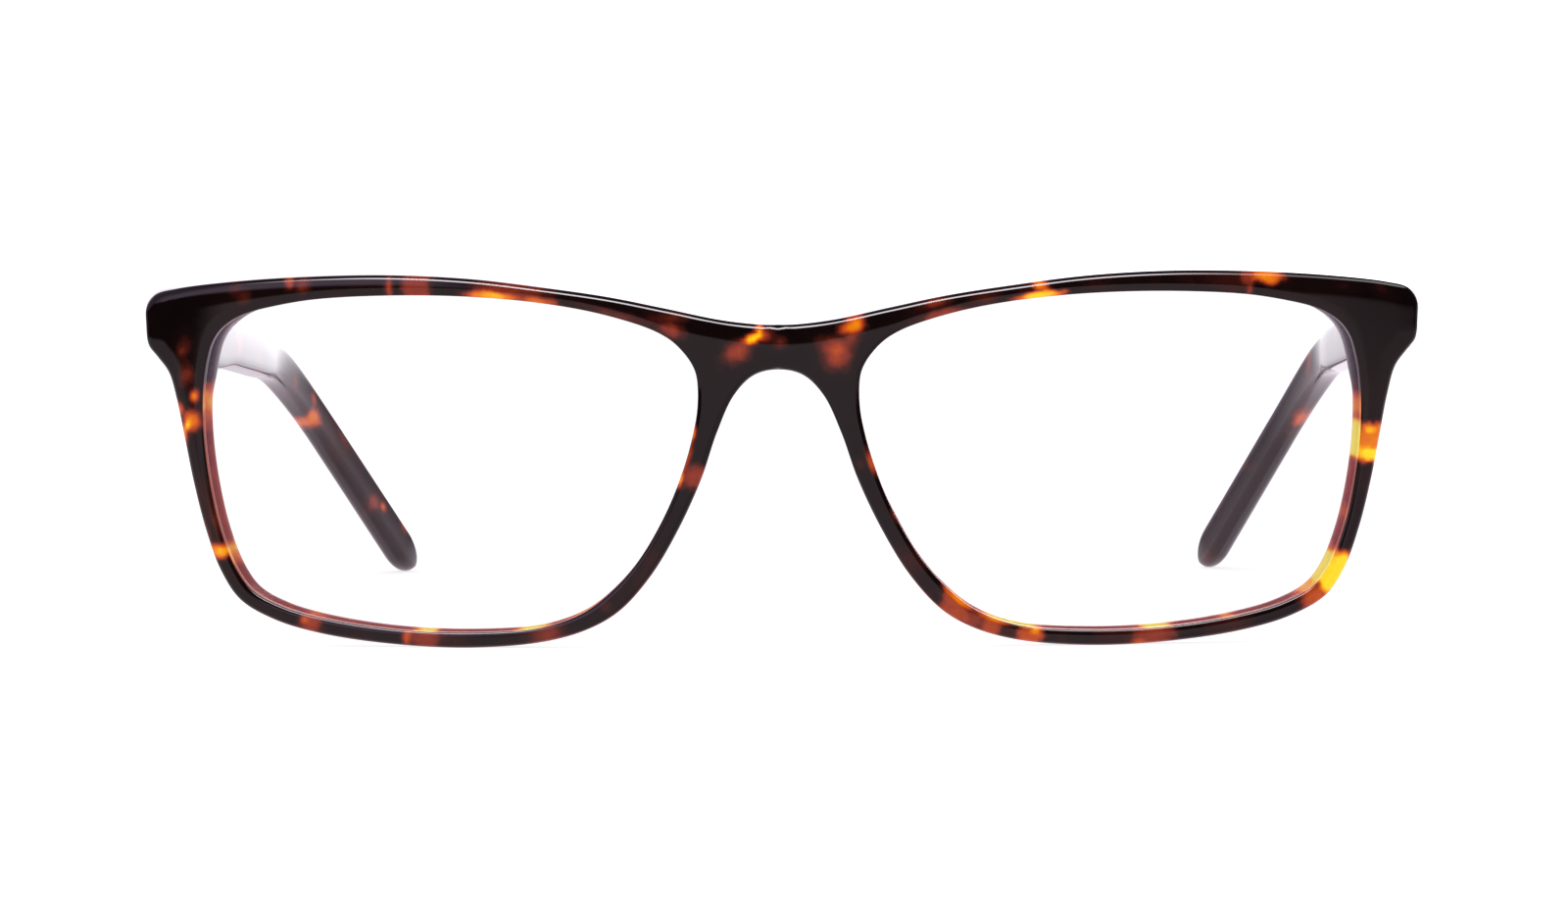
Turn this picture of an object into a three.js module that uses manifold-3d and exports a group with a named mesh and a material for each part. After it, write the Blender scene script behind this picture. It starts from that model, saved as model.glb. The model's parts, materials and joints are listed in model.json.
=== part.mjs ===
// Eyeglasses frame: an acetate front with two demo lenses, nose pads, five-barrel hinges and
// two temples with core wires. Millimetres, +Z up, front facing -Y, standing on the bottom
// edges of its rims and on the tips of its temples. "left" and "right" are the wearer's,
// so left is the +X side.
import * as THREE from "three";
import Module from "manifold-3d";
import { mergeVertices } from "three/addons/utils/BufferGeometryUtils.js";

const wasm = await Module();
wasm.setup();

// ---------------------------------------------------------------- driving dimensions
const FRONT = {
  thickness: 3.8, // of the acetate sheet
  bendRadius: 280, // the sheet is bent round a vertical axis behind it
  tilt: THREE.MathUtils.degToRad(4.4), // the top leans towards the viewer
  datumHeight: 20.05, // of the outline's v = 0 line above the table
};
const FRONT_EDGE = { width: 1.2, depth: 0.75 }; // rounding of the outer edge
const BACK_EDGE = { width: 0.5, depth: 0.4 };
const LIP_EDGE = { width: 0.8, depth: 0.3 }; // easing round the lens opening
const GROOVE = { depth: 0.7, start: 1.1, middle: 1.9, end: 2.7 }; // V groove for the lens
const END_PIECE = { planeDepth: 11.6, flare: 0.9 }; // milled flat behind, side wall parallel to Y
const LENS = {
  centreU: 35.6,
  centreV: -0.5,
  clearance: 0.1, // to the walls of the groove
  inset: 0.12, // of the face's border from the lens opening
  front: 1.2, // depth of the front face at its border
  back: 2.6,
  bulge: 0.8,
};
const PAD = {
  height: 4.4,
  gap: 0.05, // of glue, to the back of the front
  firstStation: 2.6,
  lastStation: 6.8,
  archStart: 0.06, // shares of a half turn: the pad's height follows the root of its sine
  archSpan: 0.86,
  sections: 9,
};

const HINGE = {
  axisX: 62.5,
  behindEndPiece: 2.0, // axis to end-piece flat
  buttV: 14.1, // height of the temple's centre line on the outline
  barrelRadius: 1.35,
  barrelHeight: 1.0,
  barrelGap: 0.06,
  barrels: 5,
  boreRadius: 0.66,
  buttGap: 0.15,
};
const SCREW = {
  radius: 0.6,
  headRadius: 1.0,
  headHeight: 0.5,
  headGap: 0.03, // above the top barrel
  endGap: 0.05, // of the shank's end above the foot of the lowest barrel
  slotWidth: 0.3,
  slotDepth: 0.25,
};
const FRONT_PLATE = { from: -0.9, to: 3.2, thickness: 0.95, height: 5.5 };
const FRONT_WEB = { halfWidth: 0.8, sunk: 0.3, reach: -0.7 }; // from the plate to its barrels
const TEMPLE_PLATE = { from: 1.55, to: 2.8, front: -1.3, back: 8, height: 4.6 };
const TEMPLE_WEB = { from: 0.7, to: 1.75, halfWidth: 0.8 };
const POCKET_GAP = 0.05;

const TEMPLE = {
  slope: THREE.MathUtils.degToRad(4.5), // the straight part falls towards the ear
  centreX: 66.3, // at the end piece
  taper: THREE.MathUtils.degToRad(1), // the straight part closes in
  straight: 75.5, // from the end piece to the ear bend
  bendRadius: 46,
  bendAngle: THREE.MathUtils.degToRad(37),
  dropLength: 25.77,
  tipTaper: THREE.MathUtils.degToRad(18), // the drop closes in on the head
  boreRadius: 0.8,
  boreEnd: 0.9, // share of the length
};
// Section of the temple along its length: [share of the length, half thickness, half height,
// corner radius, rise of its middle]. It is tallest at the end piece, the straight part has a
// flat inner face, and the drop is oval.
const TEMPLE_SECTIONS = [
  [0, 1.7, 3.6, 0.6, -0.35], [0.12, 1.7, 3.5, 0.6, -0.45], [0.21, 1.7, 3.3, 0.6, -0.45],
  [0.34, 1.7, 2.75, 0.6, 0], [0.5, 1.7, 2.6, 0.6, 0], [0.64, 1.6, 2.45, 0.9, 0],
  [0.8, 1.55, 2.45, 1.45, 0], [1, 1.6, 2.5, 1.5, 0],
];
const TIP = { reach: 4.5, thinnest: 0.35, least: 0.02 }; // rounding of the temple's end
const CORE_WIRE = { radius: 0.65, start: 3, end: 0.88 };

// Half of the front's outline in sheet coordinates (u outwards, v upwards), with the point of
// the lens opening that faces each outline point: [outline u, v, opening u, v]. It runs from
// the middle of the nose arch down the nose, round the rim and the end piece, and back along
// the brow to the middle of the bridge.
const STATIONS = [
  [0, 9.65, 9.3, 10.5], [2.6, 9.05, 8.72, 9.1], [4.75, 6.9, 8.6, 6.0], [6.6, 2.9, 9.15, 2.7],
  [8.3, -2.0, 10.5, -1.8], [10.8, -7.4, 12.5, -6.4], [13.8, -12.4, 15.3, -11.0],
  [17.1, -16.1, 18.3, -14.3], [20.3, -18.05, 21.1, -16.35], [25, -19.5, 25.5, -17.95],
  [33, -20.3, 33, -18.6], [42, -20.05, 41.8, -18.4], [50, -19.05, 49.7, -17.35],
  [55.2, -17.65, 54.3, -16.15], [58.95, -15.6, 57.5, -14.5], [61.05, -12.6, 59.3, -12.1],
  [62.65, -8.3, 60.85, -8.2], [63.95, -3.2, 62.0, -3.2], [64.9, 1.7, 62.6, 1.8],
  [65.75, 6.0, 62.65, 6.0], [66.6, 8.9, 62.4, 8.6], [67.9, 10.6, 62.05, 10.4],
  [68.85, 11.8, 61.6, 11.9], [69.1, 14, 61.0, 13.0], [69.0, 16.0, 60.2, 13.9],
  [68.0, 17.25, 58.9, 14.8], [65.5, 17.95, 57.3, 15.5], [59, 18.8, 54.6, 16.2],
  [51, 19.4, 50, 17.0], [42, 19.65, 42, 17.5], [33, 19.3, 33.4, 17.45],
  [25, 18.4, 25.8, 16.85], [18, 17.4, 19.3, 15.75], [12, 16.2, 14.0, 14.2],
  [6, 14.95, 12.1, 13.3], [2, 14.47, 11.1, 12.6], [0, 14.42, 10.15, 11.65],
];
const STEPS = 2; // mesh columns per station
const BRIDGE_SHARES = [0.1, 0.25, 0.5, 0.75, 0.9]; // mesh columns up the middle of the bridge

// ---------------------------------------------------------------- materials
const acetate = new THREE.MeshStandardMaterial({ color: 0x2a1712, roughness: 0.15, metalness: 0 });
const lensPlastic = new THREE.MeshStandardMaterial({
  color: 0xf4f8fa, roughness: 0.03, metalness: 0, transparent: true, opacity: 0.15,
});
const padAcetate = new THREE.MeshStandardMaterial({ color: 0x3a2018, roughness: 0.2, metalness: 0 });
const nickelSilver = new THREE.MeshStandardMaterial({ color: 0xb4b2a8, roughness: 0.3, metalness: 1 });
const steel = new THREE.MeshStandardMaterial({ color: 0x9a9a98, roughness: 0.35, metalness: 1 });

// ---------------------------------------------------------------- mesh helpers
function geometryFrom(points, triangles, side = 1) {
  const geometry = new THREE.BufferGeometry();
  const positions = points.flatMap((p) => [side * p.x, p.y, p.z]);
  const index = triangles.flatMap(([a, b, c]) => (side > 0 ? [a, b, c] : [a, c, b]));
  geometry.setAttribute("position", new THREE.Float32BufferAttribute(positions, 3));
  geometry.setIndex(index);
  return mergeVertices(geometry, 1e-4);
}

function solidFrom(geometry) {
  const bare = new THREE.BufferGeometry();
  bare.setAttribute("position", geometry.getAttribute("position"));
  bare.setIndex(geometry.getIndex());
  const merged = mergeVertices(bare, 1e-4);
  return new wasm.Manifold(new wasm.Mesh({
    numProp: 3,
    vertProperties: new Float32Array(merged.getAttribute("position").array),
    triVerts: new Uint32Array(merged.getIndex().array),
  }));
}

function geometryOf(solid, side = 1) {
  const mesh = solid.getMesh();
  const points = [];
  for (let i = 0; i < mesh.numVert; i += 1) {
    points.push(new THREE.Vector3().fromArray(mesh.vertProperties, i * mesh.numProp));
  }
  const triangles = [];
  for (let i = 0; i < mesh.numTri; i += 1) {
    triangles.push([mesh.triVerts[3 * i], mesh.triVerts[3 * i + 1], mesh.triVerts[3 * i + 2]]);
  }
  return geometryFrom(points, triangles, side);
}

// Closed skin over rings of equal length: rings[i][k]. The rings turn clockwise seen along
// the way they advance, and each end is closed by a fan.
function loft(rings) {
  const count = rings[0].length;
  const points = rings.flat();
  const triangles = [];
  for (let i = 0; i + 1 < rings.length; i += 1) {
    for (let k = 0; k < count; k += 1) {
      const a = i * count + k;
      const b = i * count + ((k + 1) % count);
      triangles.push([a, b, b + count], [a, b + count, a + count]);
    }
  }
  const closeEnd = (ring, offset, flip) => {
    const centre = ring.reduce((sum, p) => sum.add(p), new THREE.Vector3()).divideScalar(count);
    points.push(centre);
    for (let k = 0; k < count; k += 1) {
      const a = offset + k;
      const b = offset + ((k + 1) % count);
      triangles.push(flip ? [points.length - 1, b, a] : [points.length - 1, a, b]);
    }
  };
  closeEnd(rings[0], 0, true);
  closeEnd(rings.at(-1), (rings.length - 1) * count, false);
  return { points, triangles };
}

function box(x0, x1, y0, y1, z0, z1) {
  const geometry = new THREE.BoxGeometry(x1 - x0, y1 - y0, z1 - z0);
  return geometry.translate((x0 + x1) / 2, (y0 + y1) / 2, (z0 + z1) / 2);
}

function uprightCylinder(radius, z0, z1, segments) {
  const geometry = new THREE.CylinderGeometry(radius, radius, z1 - z0, segments);
  return geometry.rotateX(Math.PI / 2).translate(0, 0, (z0 + z1) / 2);
}

// ---------------------------------------------------------------- the bent sheet
// u runs round the bend, v up the sheet and h back from its front face.
function place(u, v, h) {
  const radius = FRONT.bendRadius - h;
  const x = radius * Math.sin(u / FRONT.bendRadius);
  const y = FRONT.bendRadius - radius * Math.cos(u / FRONT.bendRadius);
  const c = Math.cos(FRONT.tilt);
  const s = Math.sin(FRONT.tilt);
  return new THREE.Vector3(x, c * y - s * v, s * y + c * v + FRONT.datumHeight);
}

const outlinePoints = STATIONS.map(([u, v]) => new THREE.Vector3(u, v, 0));
const mirrored = (p) => new THREE.Vector3(-p.x, p.y, 0);
const pastTheEnds = [mirrored(outlinePoints[1]), mirrored(outlinePoints.at(-2))];
const outline = new THREE.CatmullRomCurve3(
  [pastTheEnds[0], ...outlinePoints, pastTheEnds[1]], false, "centripetal",
);
const opening = new THREE.CatmullRomCurve3(
  STATIONS.map((station) => new THREE.Vector3(station[2], station[3], 0)), true, "centripetal",
);
const outlineAt = (station) => outline.getPoint((station + 1) / (STATIONS.length + 1));
const openingAt = (station) => opening.getPoint(station / STATIONS.length);

// Mesh columns: the outline point, the opening point that faces it, and whether the column
// lies inside the bridge, where the outline point is on the plane of symmetry.
function sheetColumns() {
  const columns = [];
  const last = STATIONS.length - 1;
  for (let i = 0; i <= last * STEPS; i += 1) {
    columns.push({ edge: outlineAt(i / STEPS), lip: openingAt(i / STEPS), inBridge: false });
  }
  for (const share of BRIDGE_SHARES) {
    const edge = outlinePoints[last].clone().lerp(outlinePoints[0], share);
    columns.push({ edge, lip: openingAt(last + share), inBridge: true });
  }
  return columns;
}

function denseLine(curveAt, from, to) {
  const line = [];
  for (let station = from; station <= to; station += 0.125) {
    line.push(curveAt(station));
  }
  return line;
}
const outlineLine = denseLine(outlineAt, 0, STATIONS.length - 1);
const openingLine = denseLine(openingAt, 0, STATIONS.length);

function distanceTo(line, point) {
  const closest = new THREE.Vector3();
  const segment = new THREE.Line3();
  let best = Infinity;
  for (let i = 0; i + 1 < line.length; i += 1) {
    segment.set(line[i], line[i + 1]).closestPointToPoint(point, true, closest);
    best = Math.min(best, closest.distanceTo(point));
  }
  return best;
}

// Quarter-ellipse easing of an edge: how far the face drops at a distance from the edge.
function easing(edge, distance) {
  const share = 1 - Math.min(distance / edge.width, 1);
  return edge.depth * (1 - Math.sqrt(1 - share * share));
}

// How far a face drops at a point of the sheet, for the rounding of its two edges.
function edgeDrop(outerEdge, lipEdge, point) {
  const outer = easing(outerEdge, distanceTo(outlineLine, point));
  return outer + easing(lipEdge, distanceTo(openingLine, point));
}

const smooth = THREE.MathUtils.smoothstep;

// Depth of the sheet's back: constant, but flat and square to the temple at the end piece.
function backDepth(u, v) {
  const plane = FRONT.bendRadius
    - (FRONT.bendRadius - END_PIECE.planeDepth) / Math.cos(u / FRONT.bendRadius);
  const share = smooth(u, 56, 61) * smooth(v, 5.5, 9);
  return THREE.MathUtils.lerp(FRONT.thickness, plane, share);
}

// One closed section of the sheet, from the outer edge over the front to the opening, through
// the groove, and over the back to the outer edge.
const FRONT_ROWS_OUT = [0, 0.15, 0.45, 0.95];
const FRONT_ROWS_IN = [0.4, 0.12, 0];
const BACK_ROWS_IN = [0, 0.4];
const BACK_ROWS_OUT = [0.5, 0];

function sheetSection({ edge, lip }) {
  const width = edge.distanceTo(lip);
  const inwards = lip.clone().sub(edge).divideScalar(width);
  const at = (distance) => edge.clone().addScaledVector(inwards, distance);
  const middle = (width + FRONT_ROWS_OUT.at(-1) - FRONT_ROWS_IN[0]) / 2;
  const fromLip = (distance) => width - distance;
  const frontRows = [...FRONT_ROWS_OUT, middle, ...FRONT_ROWS_IN.map(fromLip)];
  const backRows = [...BACK_ROWS_IN.map(fromLip), middle, ...BACK_ROWS_OUT];
  const ring = [];
  for (const distance of frontRows) {
    const p = at(distance);
    ring.push(place(p.x, p.y, edgeDrop(FRONT_EDGE, LIP_EDGE, p)));
  }
  const apex = at(width - GROOVE.depth);
  ring.push(place(lip.x, lip.y, GROOVE.start));
  ring.push(place(apex.x, apex.y, GROOVE.middle));
  ring.push(place(lip.x, lip.y, GROOVE.end));
  for (const distance of backRows) {
    const p = at(distance);
    const u = p.x + END_PIECE.flare * smooth(p.x, 62.8, 67) * smooth(p.y, 5, 10);
    ring.push(place(u, p.y, backDepth(u, p.y) - edgeDrop(BACK_EDGE, BACK_EDGE, p)));
  }
  return ring;
}

function frontSolid() {
  const columns = sheetColumns();
  const rings = columns.map(sheetSection);
  const count = rings[0].length;
  const points = rings.flat();
  const triangles = [];
  for (let i = 0; i < rings.length; i += 1) {
    const next = (i + 1) % rings.length;
    const onSymmetryPlane = columns[i].inBridge || columns[next].inBridge;
    for (let k = 0; k < count; k += 1) {
      const isOuterWall = k === count - 1;
      if (onSymmetryPlane && isOuterWall) {
        continue;
      }
      const a = i * count + k;
      const b = i * count + ((k + 1) % count);
      const c = next * count + ((k + 1) % count);
      const d = next * count + k;
      triangles.push([a, c, b], [a, d, c]);
    }
  }
  const offset = points.length;
  const bothPoints = [...points, ...points.map((p) => new THREE.Vector3(-p.x, p.y, p.z))];
  const otherHalf = triangles.map(([a, b, c]) => [a + offset, c + offset, b + offset]);
  return solidFrom(geometryFrom(bothPoints, [...triangles, ...otherHalf]));
}

// ---------------------------------------------------------------- lens
const LENS_RINGS = [1, 0.6]; // shares of the way from its centre to its border

function lensGeometry(side) {
  const columns = sheetColumns();
  const centre = new THREE.Vector3(LENS.centreU, LENS.centreV, 0);
  const rimPoint = ({ edge, lip }) => {
    const outwards = edge.clone().sub(lip).normalize();
    return lip.clone().addScaledVector(outwards, GROOVE.depth - LENS.clearance);
  };
  const face = (share, depth) => columns.map(({ edge, lip }) => {
    const inwards = lip.clone().sub(edge).normalize();
    const border = lip.clone().addScaledVector(inwards, LENS.inset);
    const p = centre.clone().lerp(border, share);
    return place(p.x, p.y, depth - LENS.bulge * (1 - share * share));
  });
  const rim = columns.map((column) => {
    const p = rimPoint(column);
    return place(p.x, p.y, GROOVE.middle);
  });
  const rings = [
    ...LENS_RINGS.toReversed().map((share) => face(share, LENS.back)),
    rim,
    ...LENS_RINGS.map((share) => face(share, LENS.front)),
  ];
  const { points, triangles } = loft(rings);
  const backCentre = points.length - 2;
  points[backCentre] = place(centre.x, centre.y, LENS.back - LENS.bulge);
  points[backCentre + 1] = place(centre.x, centre.y, LENS.front - LENS.bulge);
  return geometryFrom(points, triangles, side);
}

// ---------------------------------------------------------------- nose pad
// Profile of the pad: [distance from the nose edge, share of the pad's height].
const PAD_PROFILE = [
  [0.4, 0], [0.8, 0.5], [1.25, 0.92], [1.65, 1], [1.95, 0.9], [2.1, 0.5], [2.0, 0],
];

function padGeometry(side) {
  const rings = [];
  for (let i = 0; i < PAD.sections; i += 1) {
    const share = i / (PAD.sections - 1);
    const station = THREE.MathUtils.lerp(PAD.firstStation, PAD.lastStation, share);
    const edge = outlineAt(station);
    const inwards = openingAt(station).sub(edge).normalize();
    const arch = Math.sin(Math.PI * (PAD.archStart + PAD.archSpan * share));
    const height = PAD.height * Math.sqrt(arch);
    rings.push(PAD_PROFILE.map(([distance, rise]) => {
      const p = edge.clone().addScaledVector(inwards, distance);
      return place(p.x, p.y, FRONT.thickness + PAD.gap + rise * height);
    }));
  }
  const { points, triangles } = loft(rings);
  return geometryFrom(points, triangles, side);
}

// ---------------------------------------------------------------- hinge
// Hinge space: the origin is the middle of the hinge axis, x points outwards, y back along the
// temple and z along the axis. Angle between the axis and the end-piece flat:
const FLAT_LEAN = FRONT.tilt + TEMPLE.slope;
const BARREL_PITCH = HINGE.barrelHeight + HINGE.barrelGap;
const STACK_HEIGHT = HINGE.barrels * BARREL_PITCH - HINGE.barrelGap;

const endPieceFlat = (z, offset = 0) => -HINGE.behindEndPiece - Math.tan(FLAT_LEAN) * z + offset;

// A block whose front and back are parallel to the end-piece flat.
function leaningBlock(x0, x1, depth, height, grow = 0) {
  const block = box(x0 - grow, x1 + grow, -depth - grow, 0, -height / 2 - grow, height / 2 + grow);
  return block.rotateX(FLAT_LEAN).translate(0, -HINGE.behindEndPiece, 0);
}

function barrelStack(isFrontLeaf) {
  const stack = [];
  for (let i = 0; i < HINGE.barrels; i += 1) {
    const belongsToFront = i % 2 === 0;
    if (belongsToFront === isFrontLeaf) {
      const z0 = -STACK_HEIGHT / 2 + i * BARREL_PITCH;
      stack.push([z0, z0 + HINGE.barrelHeight]);
    }
  }
  return stack;
}

function drilled(solid) {
  const bore = uprightCylinder(HINGE.boreRadius, -STACK_HEIGHT, STACK_HEIGHT, 16);
  return solid.subtract(solidFrom(bore));
}

function frontLeafGeometry(side) {
  let leaf = solidFrom(leaningBlock(
    FRONT_PLATE.from, FRONT_PLATE.to, FRONT_PLATE.thickness, FRONT_PLATE.height,
  ));
  for (const [z0, z1] of barrelStack(true)) {
    const barrel = solidFrom(uprightCylinder(HINGE.barrelRadius, z0, z1, 20));
    const web = box(
      -FRONT_WEB.halfWidth, FRONT_WEB.halfWidth, endPieceFlat(z1, -FRONT_WEB.sunk), FRONT_WEB.reach,
      z0, z1,
    );
    leaf = leaf.add(barrel).add(solidFrom(web));
  }
  return geometryOf(drilled(leaf), side);
}

function templeLeafGeometry(side) {
  const halfHeight = TEMPLE_PLATE.height / 2;
  let leaf = solidFrom(box(
    TEMPLE_PLATE.from, TEMPLE_PLATE.to, TEMPLE_PLATE.front, TEMPLE_PLATE.back,
    -halfHeight, halfHeight,
  ));
  for (const [z0, z1] of barrelStack(false)) {
    const barrel = solidFrom(uprightCylinder(HINGE.barrelRadius, z0, z1, 20));
    const web = box(
      TEMPLE_WEB.from, TEMPLE_WEB.to, -TEMPLE_WEB.halfWidth, TEMPLE_WEB.halfWidth, z0, z1,
    );
    leaf = leaf.add(barrel).add(solidFrom(web));
  }
  return geometryOf(drilled(leaf), side);
}

function screwGeometry(side) {
  const headBase = STACK_HEIGHT / 2 + SCREW.headGap;
  const headTop = headBase + SCREW.headHeight;
  const headMiddle = (headBase + headTop) / 2;
  const shank = uprightCylinder(SCREW.radius, -STACK_HEIGHT / 2 + SCREW.endGap, headMiddle, 16);
  const head = uprightCylinder(SCREW.headRadius, headBase, headTop, 20);
  const slot = box(
    -2 * SCREW.headRadius, 2 * SCREW.headRadius, -SCREW.slotWidth / 2, SCREW.slotWidth / 2,
    headTop - SCREW.slotDepth, headTop + SCREW.headHeight,
  );
  return geometryOf(solidFrom(shank).add(solidFrom(head)).subtract(solidFrom(slot)), side);
}

// ---------------------------------------------------------------- temple, in hinge space
const BEND_LENGTH = TEMPLE.bendRadius * TEMPLE.bendAngle;
const TEMPLE_LENGTH = TEMPLE.straight + BEND_LENGTH + TEMPLE.dropLength;

// Centre line of the temple at a distance along it from the end-piece flat, with the direction
// across it (away from the head) and up it.
function templeFrame(distance) {
  const bent = THREE.MathUtils.clamp(distance - TEMPLE.straight, 0, BEND_LENGTH);
  const dropped = Math.max(distance - TEMPLE.straight - BEND_LENGTH, 0);
  const angle = bent / TEMPLE.bendRadius;
  const straight = Math.min(distance, TEMPLE.straight);
  const tightening = Math.tan(TEMPLE.tipTaper) - Math.tan(TEMPLE.taper);
  const inwards = Math.tan(TEMPLE.taper) * (straight + bent)
    + (tightening * bent * bent) / (2 * BEND_LENGTH)
    + Math.tan(TEMPLE.tipTaper) * dropped;
  const centre = new THREE.Vector3(
    TEMPLE.centreX - HINGE.axisX - inwards,
    straight - HINGE.behindEndPiece + TEMPLE.bendRadius * Math.sin(angle)
      + dropped * Math.cos(angle),
    -TEMPLE.bendRadius * (1 - Math.cos(angle)) - dropped * Math.sin(angle),
  );
  const slopeIn = Math.tan(TEMPLE.taper) + (tightening * bent) / BEND_LENGTH;
  const along = new THREE.Vector3(-slopeIn, Math.cos(angle), -Math.sin(angle)).normalize();
  const across = new THREE.Vector3().crossVectors(along, new THREE.Vector3(0, 0, 1)).normalize();
  const up = new THREE.Vector3().crossVectors(across, along);
  return { centre, across, up };
}

function sectionAt(share) {
  const next = Math.max(TEMPLE_SECTIONS.findIndex(([limit]) => limit >= share), 1);
  const [start, ...before] = TEMPLE_SECTIONS[next - 1];
  const [end, ...after] = TEMPLE_SECTIONS[next];
  const mix = smooth(share, start, end);
  return before.map((size, i) => THREE.MathUtils.lerp(size, after[i], mix));
}

// Distances along the temple, closer together in the bend and at the tip.
function templeDistances() {
  const distances = [];
  for (const share of [0, 0.12, 0.3, 0.5, 0.7, 0.85]) {
    distances.push(share * TEMPLE.straight);
  }
  for (let i = 0; i <= 6; i += 1) {
    distances.push(TEMPLE.straight + (i / 6) * BEND_LENGTH);
  }
  for (const left of [22, 14, 8, 4, 2, 0.8, 0]) {
    distances.push(TEMPLE_LENGTH - left);
  }
  return distances;
}

// Rounded rectangle, clockwise seen along the temple from the hinge.
function roundedSection(halfThickness, halfHeight, cornerRadius) {
  const corner = Math.min(cornerRadius, 0.95 * halfThickness, 0.95 * halfHeight);
  const points = [];
  for (let quarter = 0; quarter < 4; quarter += 1) {
    for (let step = 0; step <= 2; step += 1) {
      const angle = -(quarter + step / 2) * (Math.PI / 2);
      const signX = quarter === 0 || quarter === 3 ? 1 : -1;
      const signZ = quarter >= 2 ? 1 : -1;
      points.push([
        signX * (halfThickness - corner) + corner * Math.cos(angle),
        signZ * (halfHeight - corner) + corner * Math.sin(angle),
      ]);
    }
  }
  return points;
}

function roundSection(radius, count) {
  return Array.from({ length: count }, (_, k) => {
    const angle = -(k / count) * 2 * Math.PI;
    return [radius * Math.cos(angle), radius * Math.sin(angle)];
  });
}

function sectionRing(distance, section) {
  const { centre, across, up } = templeFrame(distance);
  return section.map(([a, b]) => centre.clone().addScaledVector(across, a).addScaledVector(up, b));
}

// Roundness of the tip: the section shrinks over the last few millimetres.
function tipShare(distance) {
  const left = Math.min((TEMPLE_LENGTH - distance) / TIP.reach, 1);
  return Math.sqrt(Math.max(1 - (1 - left) * (1 - left), TIP.least));
}

function templeSolid() {
  const rings = templeDistances().map((distance) => {
    const share = tipShare(distance);
    const [halfThickness, halfHeight, corner, rise] = sectionAt(distance / TEMPLE_LENGTH);
    const thinning = TIP.thinnest + (1 - TIP.thinnest) * share;
    const section = roundedSection(halfThickness * thinning, halfHeight * share, corner);
    return sectionRing(distance, section.map(([a, b]) => [a, b + rise]));
  });
  for (const point of rings[0]) {
    point.y = endPieceFlat(point.z, HINGE.buttGap);
  }
  const { points, triangles } = loft(rings);
  return solidFrom(geometryFrom(points, triangles));
}

// Round rod along the temple, from a distance to a share of the temple's length.
function wireSolid(radius, start, end) {
  const reach = end * TEMPLE_LENGTH;
  const inner = templeDistances().filter((d) => d > start + 1 && d < reach - 1);
  const section = roundSection(radius, 8);
  const rings = [start, ...inner, reach].map((distance) => sectionRing(distance, section));
  const { points, triangles } = loft(rings);
  return solidFrom(geometryFrom(points, triangles));
}

function templeGeometry(side) {
  const beforeButt = -2 * HINGE.behindEndPiece; // the cutters start well in front of the butt
  const bore = wireSolid(TEMPLE.boreRadius, beforeButt, TEMPLE.boreEnd);
  const halfHeight = TEMPLE_PLATE.height / 2 + POCKET_GAP;
  const pocket = box(
    0, TEMPLE_PLATE.to + POCKET_GAP, 2 * beforeButt, TEMPLE_PLATE.back + POCKET_GAP,
    -halfHeight, halfHeight,
  );
  return geometryOf(templeSolid().subtract(bore).subtract(solidFrom(pocket)), side);
}

// ---------------------------------------------------------------- assembly
// The hinge axis is level with the butt's middle and a little behind the end-piece flat.
const buttPoint = place(0, HINGE.buttV, END_PIECE.planeDepth);
const hingeCentre = new THREE.Vector3(
  HINGE.axisX,
  buttPoint.y + HINGE.behindEndPiece * Math.cos(TEMPLE.slope),
  buttPoint.z - HINGE.behindEndPiece * Math.sin(TEMPLE.slope),
);

function frontGeometry() {
  let front = frontSolid();
  for (const side of [1, -1]) {
    const pocket = leaningBlock(
      FRONT_PLATE.from, FRONT_PLATE.to, FRONT_PLATE.thickness, FRONT_PLATE.height, POCKET_GAP,
    );
    const openHeight = FRONT_PLATE.height / 2 + POCKET_GAP;
    const mouth = box(
      FRONT_PLATE.from - POCKET_GAP, FRONT_PLATE.to + POCKET_GAP, -FRONT_PLATE.thickness / 2,
      HINGE.behindEndPiece, -openHeight, openHeight,
    ).rotateX(FLAT_LEAN).translate(0, -HINGE.behindEndPiece, 0);
    for (const block of [pocket, mouth]) {
      block.rotateX(-TEMPLE.slope).translate(hingeCentre.x, hingeCentre.y, hingeCentre.z);
      const cutter = side > 0 ? block : geometryOf(solidFrom(block), -1);
      front = front.subtract(solidFrom(cutter));
    }
  }
  return geometryOf(front);
}

function named(name, geometry, material) {
  const mesh = new THREE.Mesh(geometry, material);
  mesh.name = name;
  return mesh;
}

const assembly = new THREE.Group();
assembly.add(named("front_frame", frontGeometry(), acetate));
for (const [name, side] of [["left", 1], ["right", -1]]) {
  assembly.add(named(`${name}_lens`, lensGeometry(side), lensPlastic));
  assembly.add(named(`${name}_nose_pad`, padGeometry(side), padAcetate));
  const hinge = new THREE.Group();
  hinge.position.set(side * hingeCentre.x, hingeCentre.y, hingeCentre.z);
  hinge.rotation.x = -TEMPLE.slope;
  hinge.add(named(`${name}_front_hinge_leaf`, frontLeafGeometry(side), nickelSilver));
  hinge.add(named(`${name}_temple_hinge_leaf`, templeLeafGeometry(side), nickelSilver));
  hinge.add(named(`${name}_hinge_screw`, screwGeometry(side), steel));
  hinge.add(named(`${name}_temple`, templeGeometry(side), acetate));
  const wire = wireSolid(CORE_WIRE.radius, CORE_WIRE.start, CORE_WIRE.end);
  hinge.add(named(`${name}_core_wire`, geometryOf(wire, side), steel));
  assembly.add(hinge);
}

// The origin is the middle of the base of the whole frame, standing on the table.
const extent = new THREE.Box3().setFromObject(assembly, true);
const centre = extent.getCenter(new THREE.Vector3());
assembly.position.set(-centre.x, -centre.y, -extent.min.z);

const frame = new THREE.Group();
frame.name = "eyeglasses_frame";
frame.add(assembly);
export default frame;
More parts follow.
